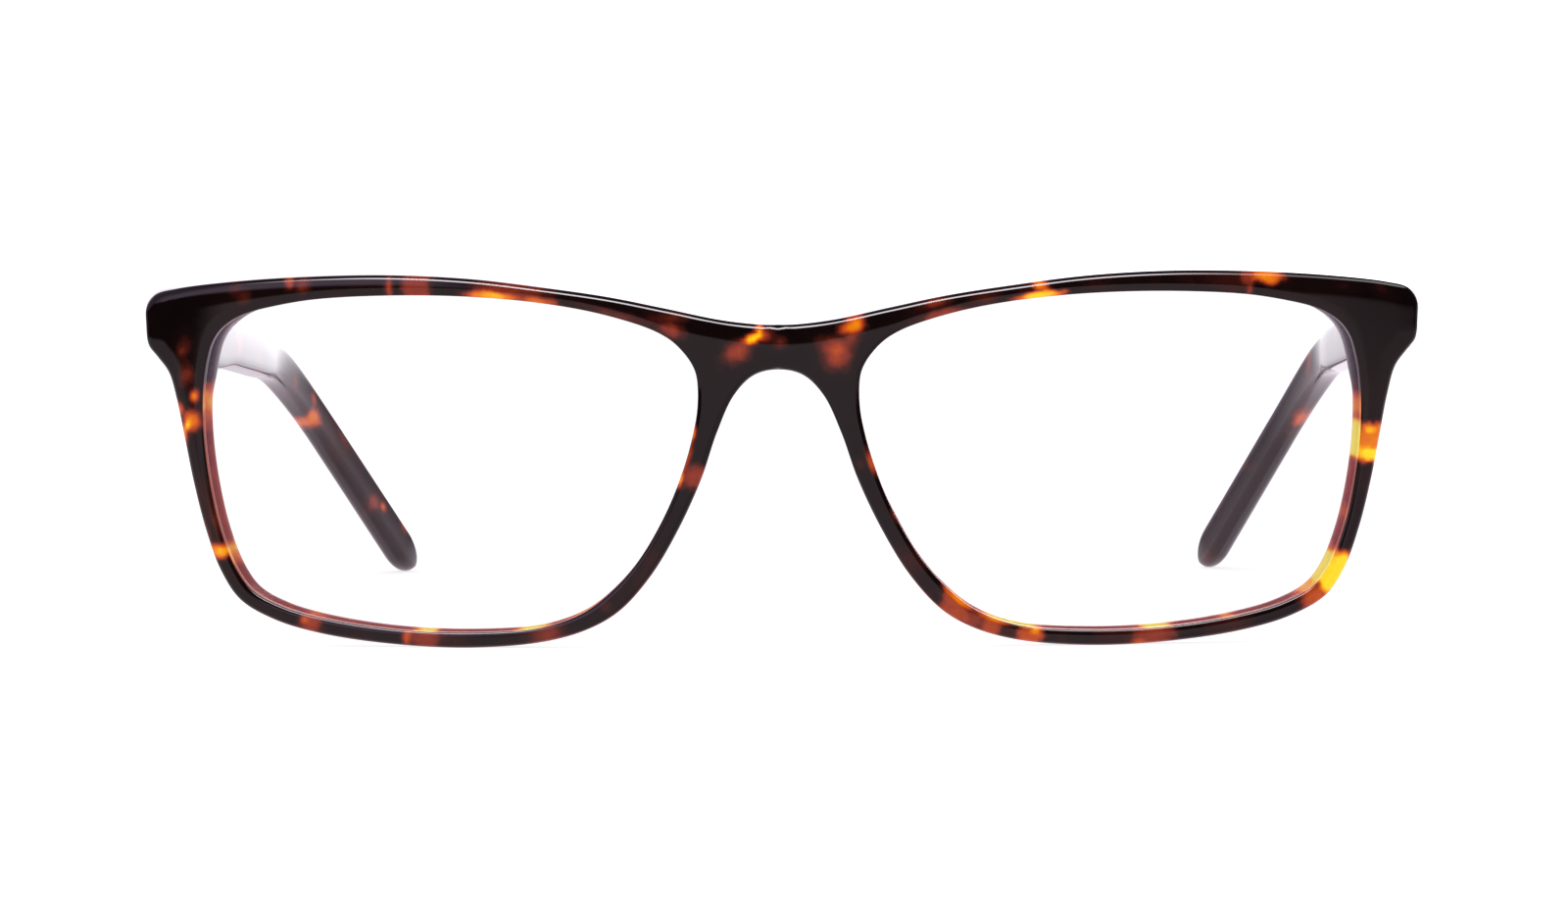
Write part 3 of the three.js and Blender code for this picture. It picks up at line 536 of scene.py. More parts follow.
def stitched(points, faces):
    """Which points of the two halves to keep, and the faces of the whole front. The halves
    share the points on the plane of symmetry, and unused points go."""
    size = len(points) // 2
    used = np.zeros(size, bool)
    used[np.unique(faces)] = True
    on_plane = np.abs(points[:size, 0]) < 1e-6
    target = np.arange(2 * size)
    target[size:][on_plane] = np.nonzero(on_plane)[0]
    keep = np.concatenate([used, used & ~on_plane])
    number = np.cumsum(keep) - 1
    return keep, number[target[np.concatenate([faces, size + faces[:, ::-1]])]]


def build_front(material):
    edge, lip, in_bridge = rim_columns(COLUMN_SPACING)
    width, inwards = across_rim(edge, lip)

    def at(distance):
        return edge[:, None] + inwards[:, None] * distance[..., None]

    # Round the section: the front face, the wall with its groove, the back and the outer side.
    rows = front_rows_of(width)
    front, wall, back = at(rows), at(width[:, None] - WALL_ROWS[:, 1]), at(rows[:, ::-2])
    front_h = front_drop(front.reshape(-1, 2)).reshape(rows.shape)
    back_u, back_h = (part.reshape(back.shape[:2]) for part in back_face(back.reshape(-1, 2)))
    side_shares = np.arange(1, SIDE_ROWS + 1) / (SIDE_ROWS + 1)
    last_u, last_h = back_u[:, -1:], back_h[:, -1:]
    side_u = last_u + (edge[:, :1] - last_u) * side_shares
    side_h = last_h + (front_h[:, :1] - last_h) * side_shares
    side_v = np.repeat(edge[:, 1:], SIDE_ROWS, 1)
    u = np.concatenate([front[..., 0], wall[..., 0], back_u, side_u], 1)
    v = np.concatenate([front[..., 1], wall[..., 1], back[..., 1], side_v], 1)
    h = np.concatenate([front_h, wall_depths(lip), back_h, side_h], 1)
    glow, on_wall = np.zeros_like(u), np.zeros_like(u)
    face_rows = rows.shape[1]
    # Painted glow of light shining through the thin outer edge.
    glow[:, :face_rows] = edge_glow(rows, edge)
    on_wall[:, face_rows : face_rows + len(WALL_ROWS)] = 1
    faces = half_faces(u.shape[1], in_bridge)

    u, v, h, glow, on_wall = (part.ravel() for part in (u, v, h, glow, on_wall))
    halves, levels = [], []
    for side in (1, -1):
        points = place(u, v, h, ROW_OFFSET)
        points[:, 0] *= side
        halves.append(points)
        levels.append(merged([front_level(side, u, v, h, on_wall), glow]))
    points, levels = np.concatenate(halves), np.concatenate(levels)
    keep, faces = stitched(points, faces)
    return make_piece(
        "tortoise_front", points[keep], faces, material, "front", "front_frame",
        {"tortoise": levels[keep], "wall": np.tile(on_wall, 2)[keep]},
    )


# ---- lenses
LENS_CENTRE = (35.6, -0.5)
LENS_CLEARANCE = 0.1
LENS_INSET = 0.12
LENS_FACES = (1.2, 2.6)
LENS_BULGE = 0.8
LENS_SPACING = 0.8  # of the mesh columns
LENS_SHARES = (0.03, 16)  # first ring's share of the way from the centre, number of rings
GROOVE_SHARE = 1.2  # stands for the ring in the groove, beyond the border
# Painted reflection of the lens edge, which grows towards the border over these shares.
RIM_SHARES = (0.985, 1.0)  # the tint of the border grows over these shares


def build_lens(name, side, material):
    edge, lip, _ = rim_columns(LENS_SPACING)
    _, inwards = across_rim(edge, lip)
    border = lip + LENS_INSET * inwards
    groove = lip - (GROOVE_DEPTH - LENS_CLEARANCE) * inwards
    centre = np.array(LENS_CENTRE)
    first_share, count = LENS_SHARES
    shares = np.sin(np.linspace(first_share, 1, count) * math.pi / 2)

    def face(share, depth):
        p = centre + share * (border - centre)
        return place(p[:, 0], p[:, 1], depth - LENS_BULGE * (1 - share * share), ROW_OFFSET)

    rings = [face(share, LENS_FACES[1]) for share in shares]
    rings.append(place(groove[:, 0], groove[:, 1], GROOVE_DEPTHS[1], ROW_OFFSET))
    rings += [face(share, LENS_FACES[0]) for share in shares[::-1]]
    points, faces = capped(rings)
    edge_share = np.concatenate([shares, [GROOVE_SHARE], shares[::-1]])
    # Painted reflection: the lens is tinted violet near its border, for its edge seen inside it.
    rim_reflection = smoothstep(np.repeat(edge_share, len(edge)), *RIM_SHARES)
    rim_reflection = np.concatenate([rim_reflection, [0, 0]])
    points[:, 0] *= side
    return make_piece(
        f"{name}_clear_lens", points, faces, material, "front", f"{name}_lens",
        {"rim_reflection": rim_reflection}, sharp=30,
    )


# ---- nose pads
PAD_HEIGHT = 4.4
PAD_GAP = 0.05
PAD_STATIONS = (2.6, 6.8)
PAD_RINGS = 61
PAD_ARCH = (0.06, 0.92)  # the pad's height is the root of this part of a half sine wave
PAD_ROUNDING = 0.05  # share of the length in which each end closes
PAD_GROUND, PAD_MOTTLE = 0.16, 0.30
# Profile of the pad: distance from the nose edge, share of the pad's height.
PAD_PROFILE = [
    (0.4, 0), (0.55, 0.25), (0.8, 0.52), (1.05, 0.78), (1.3, 0.93), (1.55, 0.99), (1.75, 0.98),
    (1.93, 0.88), (2.04, 0.7), (2.09, 0.45), (2.08, 0.2), (2.0, 0),
]


def build_pad(name, side, material):
    shares = np.linspace(0, 1, PAD_RINGS)
    stations = PAD_STATIONS[0] + shares * (PAD_STATIONS[1] - PAD_STATIONS[0])
    edge, lip = outline_at(stations), opening_at(stations)
    _, inwards = across_rim(edge, lip)
    height = PAD_HEIGHT * np.sqrt(np.sin(math.pi * np.linspace(*PAD_ARCH, PAD_RINGS)))
    height *= np.sqrt(np.clip(np.minimum(shares, 1 - shares) / PAD_ROUNDING, 0.03, 1))
    rings = []
    for i in range(len(shares)):
        ring = []
        for distance, rise in PAD_PROFILE:
            p = edge[i] + distance * inwards[i]
            ring.append(place(p[0], p[1], THICKNESS + PAD_GAP + rise * height[i], ROW_OFFSET))
        rings.append(np.array(ring))
    points, faces = capped(rings)
    level = PAD_GROUND + PAD_MOTTLE * np.clip(noise_at(points, 0.35, 7 + side), 0, 1)
    points[:, 0] *= side
    return make_piece(
        f"{name}_pad", points, faces, material, "front", f"{name}_nose_pad",
        {"tortoise": level, "wall": np.zeros(len(points))}, sharp=40,
    )


# ---- temples
CENTRE_X = 66.3
TAPER = math.tan(math.radians(1))
STRAIGHT = 75.5
EAR_RADIUS = 46.0
EAR_ANGLE = math.radians(37)
DROP = 25.77
TIP_TAPER = math.tan(math.radians(18))
EAR_LENGTH = EAR_RADIUS * EAR_ANGLE
TEMPLE_LENGTH = STRAIGHT + EAR_LENGTH + DROP
TIP_REACH = 4.5
RING_SPACING = 0.55
TIP_RINGS = 16
CROWN = 0.05  # share by which the temple is thinner at the edges of its wide faces
CROWN_OF_DROP = 0.14  # the same at the end of the bend
CROWN_REACH = 20  # the crown starts to grow this far ahead of the bend
BUTT_REACH = 0.12 * STRAIGHT  # the lean of the butt fades out over this distance
# Rings at the butt: distance from it, inset of the rounded edge.
BUTT_INSETS = [(0.0, 0.30), (0.02, 0.16), (0.08, 0.07), (0.18, 0.02), (0.32, 0.0)]
FIRST_PLAIN_RING = 0.9
# Section along the temple: share of the length, half thickness, half height, corner radius,
# rise of its middle.
TEMPLE_SECTIONS = np.array([
    (0, 1.7, 3.6, 1.4, -0.35), (0.12, 1.7, 3.5, 0.6, -0.45), (0.21, 1.7, 3.3, 0.6, -0.45),
    (0.34, 1.7, 2.75, 0.6, 0), (0.5, 1.7, 2.6, 0.6, 0), (0.64, 1.6, 2.45, 0.9, 0),
    (0.8, 1.55, 2.45, 1.45, 0), (1, 1.6, 2.5, 1.5, 0),
])


def temple_frame(distance):
    """Centre of the section at a distance along the temple, and its across and up axes."""
    bent = min(max(distance - STRAIGHT, 0), EAR_LENGTH)
    dropped = max(distance - STRAIGHT - EAR_LENGTH, 0)
    angle = bent / EAR_RADIUS
    straight = min(distance, STRAIGHT)
    tightening = TIP_TAPER - TAPER
    inwards = TAPER * (straight + bent) + tightening * bent**2 / (2 * EAR_LENGTH)
    inwards += TIP_TAPER * dropped
    centre = np.array([
        CENTRE_X - HINGE_AXIS_X - inwards,
        -BEHIND_END_PIECE + straight + EAR_RADIUS * math.sin(angle) + dropped * math.cos(angle),
        -EAR_RADIUS * (1 - math.cos(angle)) - dropped * math.sin(angle),
    ])
    along = np.array([-TAPER - tightening * bent / EAR_LENGTH, math.cos(angle), -math.sin(angle)])
    along /= np.linalg.norm(along)
    across = np.cross(along, [0, 0, 1])
    across /= np.linalg.norm(across)
    return centre, across, np.cross(across, along)


def section_at(share):
    """Half thickness, half height, corner radius and rise at a share of the length."""
    index = max(int(np.searchsorted(TEMPLE_SECTIONS[:, 0], share)), 1)
    before, after = TEMPLE_SECTIONS[index - 1], TEMPLE_SECTIONS[index]
    mix = smoothstep(share, before[0], after[0])
    return before[1:] + mix * (after[1:] - before[1:])


def rounded_section(half_thickness, half_height, corner, steps=7, flats=6):
    """Rounded rectangle with points along its long flat sides too."""
    corner = min(corner, 0.95 * half_thickness, 0.95 * half_height)
    points = []
    for quarter in range(4):
        sign_x = 1 if quarter in (0, 3) else -1
        sign_z = 1 if quarter >= 2 else -1
        for step in range(steps + 1):
            angle = -(quarter + step / steps) * math.pi / 2
            points.append((
                sign_x * (half_thickness - corner) + corner * math.cos(angle),
                sign_z * (half_height - corner) + corner * math.sin(angle),
            ))
        if quarter in (1, 3):
            reach = 2 * (half_height - corner)
            x, z = points[-1]
            for k in range(1, flats):
                points.append((x, z - sign_z * reach * k / flats))
    return np.array(points)


def end_piece_flat(z):
    """y of the end piece's flat back at a height in hinge space."""
    return -BEHIND_END_PIECE - math.tan(FLAT_LEAN) * z


def temple_level(side, distance, height, points):
    wobble = 0.35 * noise_at(points, 0.45, 11) + 0.2 * noise_at(points, 1.3, 12)
    levels = [mottled(THIN_GROUND, noise_at(points, 0.11, 13))]
    for centre, rise, *patch in TEMPLE_PATCHES[side]:
        levels.append(patch_level(distance - centre, height - rise, *patch, wobble))
    return merged(levels)


def build_temple(name, side, material):
    distances = [d for d, _ in BUTT_INSETS]
    distances += list(np.arange(FIRST_PLAIN_RING, TEMPLE_LENGTH - TIP_REACH, RING_SPACING))
    angles = np.linspace(0, 1.5, TIP_RINGS)
    distances += [TEMPLE_LENGTH - TIP_REACH * (1 - math.sin(angle)) for angle in angles]
    rings, ring_distance, heights = [], [], []
    for i, distance in enumerate(distances):
        left = min((TEMPLE_LENGTH - distance) / TIP_REACH, 1)
        tip = math.sqrt(max(1 - (1 - left) ** 2, 0.0004))
        thickness, height, corner, rise = section_at(distance / TEMPLE_LENGTH)
        inset = BUTT_INSETS[i][1] if i < len(BUTT_INSETS) else 0.0
        thickness = thickness * min(0.35 + 0.65 * tip, 0.2 + 1.9 * tip) - inset
        height = height * tip - inset
        section = rounded_section(thickness, height, corner)
        growth = smoothstep(distance, STRAIGHT - CROWN_REACH, STRAIGHT + EAR_LENGTH)
        crown = CROWN + (CROWN_OF_DROP - CROWN) * growth
        section[:, 0] *= 1 - crown * (section[:, 1] / height) ** 2
        section += [0, rise]
        centre, across, up = temple_frame(distance)
        ring = centre + section[:, :1] * across + section[:, 1:] * up
        fade = max(1 - distance / BUTT_REACH, 0)
        ring[:, 1] += fade * (end_piece_flat(ring[:, 2]) + BUTT_GAP + BEHIND_END_PIECE)
        rings.append(ring)
        ring_distance += [distance] * len(section)
        heights += list(section[:, 1])
    points, faces = capped(rings)
    ring_distance = np.array(ring_distance + [distances[0], distances[-1]])
    heights = np.array(heights + [0, 0])
    spots = points.copy()
    spots[:, 0] *= side
    level = temple_level(side, ring_distance, heights, spots)
    return make_piece(
        f"tortoise_{name}_temple", from_hinge_space(points, side), faces, material,
        f"{name}_temple", f"{name}_temple",
        {"tortoise": level, "wall": np.zeros(len(points))}, sharp=50,
    )


# ---- hinges, in hinge space
BARREL_RADIUS = 1.35
BARREL_HEIGHT = 1.0
BARREL_PITCH = 1.06
BARRELS = 5
BORE_RADIUS = 0.62
STACK_HEIGHT = BARRELS * BARREL_PITCH - 0.06
CHAMFER = 0.1
PROUD = 0.03  # the plates stand this far out of the acetate
# Boxes of the plates as low and high corners. The webs join them to the barrels.
FRONT_PLATE = ((-0.9, -0.9, -2.7), (3.2, PROUD, 2.7))
TEMPLE_PLATE = ((1.55, -1.3, -2.3), (2.9, 8.0, 2.3))
WEB = 0.8  # half width
FRONT_WEB_SUNK, FRONT_WEB_END = 0.3, -0.72
TEMPLE_WEB_X = (0.72, 1.75)
PLATE_BEVELS, WEB_BEVEL = (0.12, 0.14), 0.08
SHANK_RADIUS, NECK_RADIUS, HEAD_RADIUS = 0.58, 0.88, 1.0
HEAD_HEIGHT = 0.5
SLOT_HALF_WIDTH, SLOT_DEPTH = 0.15, 0.25


def lathe(profile, segments=48):
    """Closed ring about the z axis from a closed profile of (radius, z)."""
    angles = np.arange(segments) / segments * 2 * math.pi
    rings = [
        np.array([(r * math.cos(a), r * math.sin(a), z) for r, z in profile]) for a in angles
    ]
    return np.concatenate(rings), band_faces(segments, len(profile), closed=True)


def barrel(z0):
    """Bored barrel with chamfered ends, standing on z0."""
    z1 = z0 + BARREL_HEIGHT
    return lathe([
        (BORE_RADIUS, z0), (BARREL_RADIUS - CHAMFER, z0), (BARREL_RADIUS, z0 + CHAMFER),
        (BARREL_RADIUS, z1 - CHAMFER), (BARREL_RADIUS - CHAMFER, z1), (BORE_RADIUS, z1),
    ])


def bevelled_box(low, high, bevel):
    """Box with rounded edges, as points and faces."""
    shape = bmesh.new()
    bmesh.ops.create_cube(shape, size=1)
    low, high = np.array(low, float), np.array(high, float)
    for vertex in shape.verts:
        vertex.co = Vector((low + high) / 2 + (high - low) * np.array(vertex.co))
    bmesh.ops.bevel(
        shape, geom=list(shape.edges), offset=bevel, segments=3, profile=0.5, affect="EDGES",
    )
    shape.verts.index_update()
    points = np.array([tuple(vertex.co) for vertex in shape.verts])
    faces = [tuple(vertex.index for vertex in face.verts) for face in shape.faces]
    shape.free()
    return points, faces


def joined(parts):
    """Points and faces of several parts as one mesh."""
    points, faces, offset = [], [], 0
    for part_points, part_faces in parts:
        points.append(part_points)
        faces += [tuple(offset + n for n in face) for face in part_faces]
        offset += len(part_points)
    return np.concatenate(points), faces


def barrel_starts(on_front):
    """Undersides of the barrels of one leaf: the front has the first, third and fifth."""
    return [
        -STACK_HEIGHT / 2 + i * BARREL_PITCH for i in range(BARRELS) if (i % 2 == 0) == on_front
    ]


def build_front_leaf(name, side, material):
    points, faces = bevelled_box(*FRONT_PLATE, PLATE_BEVELS[0])
    c, s = math.cos(FLAT_LEAN), math.sin(FLAT_LEAN)
    y, z = points[:, 1].copy(), points[:, 2].copy()
    points[:, 1], points[:, 2] = y * c - z * s - BEHIND_END_PIECE, y * s + z * c
    parts = [(points, faces)]
    for z0 in barrel_starts(True):
        z1 = z0 + BARREL_HEIGHT
        parts.append(barrel(z0))
        sunk = end_piece_flat(z1) - FRONT_WEB_SUNK
        parts.append(bevelled_box((-WEB, sunk, z0), (WEB, FRONT_WEB_END, z1), WEB_BEVEL))
    points, faces = joined(parts)
    return make_piece(
        f"{name}_hinge_front_leaf", from_hinge_space(points, side), faces, material, "front",
        f"{name}_front_hinge_leaf", sharp=35,
    )


def build_temple_leaf(name, side, material):
    parts = [bevelled_box(*TEMPLE_PLATE, PLATE_BEVELS[1])]
    for z0 in barrel_starts(False):
        z1 = z0 + BARREL_HEIGHT
        parts.append(barrel(z0))
        start, end = TEMPLE_WEB_X
        parts.append(bevelled_box((start, -WEB, z0), (end, WEB, z1), WEB_BEVEL))
    points, faces = joined(parts)
    return make_piece(
        f"{name}_hinge_temple_leaf", from_hinge_space(points, side), faces, material,
        f"{name}_temple", f"{name}_temple_hinge_leaf", sharp=35,
    )


def build_screw(name, side, material):
    foot = -STACK_HEIGHT / 2 + 0.05
    base = STACK_HEIGHT / 2 + 0.03
    top = base + HEAD_HEIGHT
    points, faces = lathe([
        (0.02, foot), (SHANK_RADIUS - 0.08, foot), (SHANK_RADIUS, foot + 0.1),
        (SHANK_RADIUS, base), (NECK_RADIUS, base), (HEAD_RADIUS, base + 0.1),
        (HEAD_RADIUS, top - 0.2), (HEAD_RADIUS - 0.06, top - 0.08), (HEAD_RADIUS - 0.2, top),
        (0.02, top),
    ])
    piece = make_piece(
        f"{name}_screw", from_hinge_space(points, side), faces, material, "front",
        f"{name}_hinge_screw", sharp=35,
    )
    past = 0.4  # the cutter reaches this far beyond the head
    low = (-HEAD_RADIUS - past, -SLOT_HALF_WIDTH, top - SLOT_DEPTH)
    points, faces = bevelled_box(low, (HEAD_RADIUS + past, SLOT_HALF_WIDTH, top + past), 0.02)
    cutter_mesh = bpy.data.meshes.new(f"{name}_slot")
    cutter_mesh.from_pydata((from_hinge_space(points, side) * MM).tolist(), [], faces)
    cutter = in_scene(f"{name}_slot", cutter_mesh)
    cut = piece.modifiers.new("slot", "BOOLEAN")
    cut.operation = "DIFFERENCE"
    cut.object = cutter
    bpy.context.view_layer.update()
    evaluated = piece.evaluated_get(bpy.context.evaluated_depsgraph_get())
    cut_mesh = bpy.data.meshes.new_from_object(evaluated)
    cut_mesh.set_sharp_from_angle(angle=math.radians(35))
    piece.modifiers.clear()
    piece.data = cut_mesh
    bpy.data.objects.remove(cutter)
    return piece


# ---- materials
def srgb(r, g, b):
    """Linear colour of an sRGB colour of 0 to 255."""
    def linear(value):
        value /= 255
        return value / 12.92 if value <= 0.04045 else ((value + 0.055) / 1.055) ** 2.4

    return (linear(r), linear(g), linear(b), 1.0)


class Nodes:
    """Short way to add and join shader nodes."""

    def __init__(self, tree):
        self.tree = tree
        tree.nodes.clear()

    def add(self, kind, inputs=None, **settings):
        node = self.tree.nodes.new(kind)
        for key, value in settings.items():
            setattr(node, key, value)
        for key, value in (inputs or {}).items():
            if isinstance(value, bpy.types.Node):
                value = value.outputs[0]
            if isinstance(value, bpy.types.NodeSocket):
                self.tree.links.new(value, node.inputs[key])
            else:
                node.inputs[key].default_value = value
        return node

    def math(self, operation, a, b=0.0, c=0.0):
        return self.add("ShaderNodeMath", {0: a, 1: b, 2: c}, operation=operation).outputs[0]

    def ramp(self, factor, stops):
        node = self.add("ShaderNodeValToRGB", {0: factor})
        ramp = node.color_ramp
        while len(ramp.elements) > 1:
            ramp.elements.remove(ramp.elements[-1])
        ramp.elements[0].position = stops[0][0]
        ramp.elements[0].color = stops[0][1]
        for position, colour in stops[1:]:
            ramp.elements.new(position).color = colour
        return node.outputs[0]

    def step(self, value, low, high, out_low=0.0, out_high=1.0):
        """Smooth step from out_low at low to out_high at high."""
        inputs = {0: value, 1: low, 2: high, 3: out_low, 4: out_high}
        return self.add("ShaderNodeMapRange", inputs, interpolation_type="SMOOTHSTEP").outputs[0]

    def mix(self, factor, a, b):
        inputs = {0: factor, 6: a, 7: b}
        return self.add("ShaderNodeMix", inputs, data_type="RGBA").outputs[2]

    def attribute(self, name):
        return self.add("ShaderNodeAttribute", attribute_name=name).outputs["Fac"]

    def noise(self, place_at, scale, detail, roughness=0.5):
        return self.add("ShaderNodeTexNoise", {
            "Vector": place_at, "Scale": scale, "Detail": detail, "Roughness": roughness,
        }).outputs[0]

    def principled(self, inputs):
        """Ends a material with a Principled surface."""
        surface = self.add("ShaderNodeBsdfPrincipled", inputs)
        self.add("ShaderNodeOutputMaterial", {"Surface": surface})


def new_material(name):
    material = bpy.data.materials.new(name)
    material.use_nodes = True
    return material, Nodes(material.node_tree)


# Colours of the acetate by level, as (level, red, green, blue) in sRGB.
TORTOISE_STOPS = [
    (0.00, 7, 4, 5), (0.17, 19, 8, 8), (0.32, 66, 22, 15), (0.48, 136, 48, 30),
    (0.62, 188, 76, 22), (0.76, 228, 118, 16), (0.88, 243, 168, 16), (1.00, 251, 214, 36),
]
# The walls of the openings get a lighter ramp than the face: painted light shining through the
# sheet onto its cut walls.
WALL_STOPS = [
    (0.00, 22, 12, 12), (0.12, 48, 18, 10), (0.30, 150, 52, 18), (0.50, 180, 74, 20),
    (0.66, 216, 96, 20), (0.78, 246, 150, 30), (0.90, 255, 206, 60), (1.00, 255, 232, 90),
]


def acetate_material():
    """Polished tortoise acetate: dark ground, amber patches, hazy sawn walls."""
    material, n = new_material("tortoise_acetate")
    place_at = n.add("ShaderNodeTexCoord").outputs["Object"]
    tortoise, wall = n.attribute("tortoise"), n.attribute("wall")
    cloud = n.noise(place_at, 420.0, 3.0, 0.55)
    speck = n.noise(place_at, 1900.0, 2.0, 0.6)
    cloud_shift = n.math("MULTIPLY_ADD", cloud, 0.26, -0.13)
    speck_shift = n.math("MULTIPLY_ADD", speck, 0.06, -0.03)
    stronger_in_amber = n.math("MULTIPLY_ADD", tortoise, 0.8, 0.35)
    shift = n.math("MULTIPLY", n.math("ADD", cloud_shift, speck_shift), stronger_in_amber)
    level = n.math("ADD", tortoise, shift)
    face_colour, wall_colour = (
        n.ramp(level, [(at, srgb(*colour)) for at, *colour in stops])
        for stops in (TORTOISE_STOPS, WALL_STOPS)
    )

    # The wall of the lens opening is only sawn and tumbled: fine lines along it, and haze.
    stretch = n.add("ShaderNodeMapping", {"Vector": place_at, "Scale": (500.0, 9000.0, 500.0)})
    lines = n.noise(stretch, 1.0, 3.0, 0.7)
    haze = n.step(lines, 0.55, 0.75)
    hazed = n.mix(n.math("MULTIPLY", haze, 0.12), wall_colour, srgb(232, 176, 140))
    colour = n.mix(wall, face_colour, hazed)

    scuff = n.step(speck, 0.45, 0.75)
    polish = n.math("MULTIPLY_ADD", scuff, 0.025, 0.03)
    rough = n.math("MULTIPLY_ADD", wall, 0.3, polish)
    bump = n.add(
        "ShaderNodeBump",
        {"Strength": 0.2, "Distance": 0.00003, "Height": n.math("MULTIPLY", lines, wall)},
    )
    n.principled({"Base Color": colour, "Roughness": rough, "Normal": bump, "IOR": 1.49})
    return material


def lens_material():
    """Clear lens plastic, a little violet near the rim: a painted reflection of the lens edge."""
    material, n = new_material("clear_lens")
    smear = n.noise(n.add("ShaderNodeTexCoord").outputs["Object"], 160.0, 2.0)
    # Painted reflection of the lens edge near the rim.
    colour = n.mix(n.attribute("rim_reflection"), srgb(94, 76, 86), srgb(150, 146, 196))
    rough = n.math("MULTIPLY_ADD", smear, 0.03, 0.01)
    n.principled({"Base Color": colour, "Roughness": rough, "IOR": 1.5, "Alpha": 0.08})
    return material


def metal_material(name, light, dark, roughness, stretch):
    """Brushed metal with fine lines and small changes of tone."""
    material, n = new_material(name)
    place_at = n.add("ShaderNodeTexCoord").outputs["Object"]
    scaled = n.add("ShaderNodeMapping", {"Vector": place_at, "Scale": stretch})
    grain = n.noise(scaled, 1.0, 4.0)
    colour = n.mix(n.step(grain, 0.3, 0.7), srgb(*dark), srgb(*light))
    rough = n.math("MULTIPLY_ADD", grain, 0.18, roughness)
    bump = n.add("ShaderNodeBump", {"Strength": 0.2, "Distance": 0.00001, "Height": grain})
    n.principled({"Base Color": colour, "Metallic": 1.0, "Roughness": rough, "Normal": bump})
    return material


acetate = acetate_material()
clear_lens = lens_material()
nickel_silver = metal_material(
    "nickel_silver", (214, 208, 196), (176, 170, 160), 0.16, (900.0, 900.0, 9000.0)
)
screw_steel = metal_material(
    "screw_steel", (226, 228, 232), (186, 188, 192), 0.1, (5000.0, 5000.0, 1500.0)
)
wire_steel = metal_material(
    "wire_steel", (190, 190, 194), (140, 140, 146), 0.22, (6000.0, 600.0, 6000.0)
)

build_front(acetate)
for name, side in SIDES.items():
    build_lens(name, side, clear_lens)
    build_pad(name, side, acetate)
    build_front_leaf(name, side, nickel_silver)
    build_screw(name, side, screw_steel)
    build_temple_leaf(name, side, nickel_silver)
    build_temple(name, side, acetate)
    wire = frame["nodes"][f"{name}_core_wire"]
    wire.data.materials.clear()
    wire.data.materials.append(wire_steel)


# ---- studio
def grey(value):
    return (value, value, value, 1.0)


def build_floor():
    """White table that lights the frame a little from below."""
    mesh = bpy.data.meshes.new("table")
    reach = 6.0
    corners = [(-reach, -reach, 0), (reach, -reach, 0), (reach, reach, 0), (-reach, reach, 0)]
    mesh.from_pydata(corners, [], [(0, 1, 2, 3)])
    table = in_scene("table", mesh)
    material, n = new_material("white_table")
    diffuse = n.add("ShaderNodeBsdfDiffuse", {"Color": grey(0.35)})
    glow = n.add("ShaderNodeEmission", {"Color": grey(1.0), "Strength": 0.85})
    lit_table = n.add("ShaderNodeAddShader", {0: diffuse, 1: glow})
    n.add("ShaderNodeOutputMaterial", {"Surface": lit_table})
    mesh.materials.append(material)
    table.visible_glossy = False


# Height in degrees of the near edge of the white table as the glossy front reflects it:
# (azimuth, elevation), with azimuth 0 towards the viewer and positive to the left of the wearer.
TABLE_EDGE = [
    (-60, -10), (-46, -10.5), (-35, -11), (-31, -7), (-27, -3), (-20, -1), (-12, -2), (-6, -7),
    (0, -8), (5, -5), (10, -3), (16, -3), (23, -4), (27, -7.5), (36, -8.5), (60, -9),
]


EDGE_AZIMUTHS = (-60, 60)  # reach of that list
EDGE_LOWEST = -20  # elevation at the bottom of the ramp that carries it

DARK_ROOM = (0.012, 0.008, 0.009)
# Lights of the room that the gloss mirrors. Each lies over the ones before it.
LIGHTS = {
    "table": (1.0, 0.82, 0.88), "wall": (1.25, 0.95, 1.3), "behind": (1.9, 1.75, 1.95),
    "backdrop": (3.6, 3.5, 3.7), "sides": (1.7, 1.5, 1.7), "lamp": (19.0, 18.2, 19.0),
}
# Brightness of what is behind the frame: (share of the half turn from the viewer, grey).
BEHIND_STOPS = [(0.48, 0), (0.52, 0.22), (0.60, 0.28), (0.68, 0.42), (0.90, 0.6), (0.96, 0.72)]


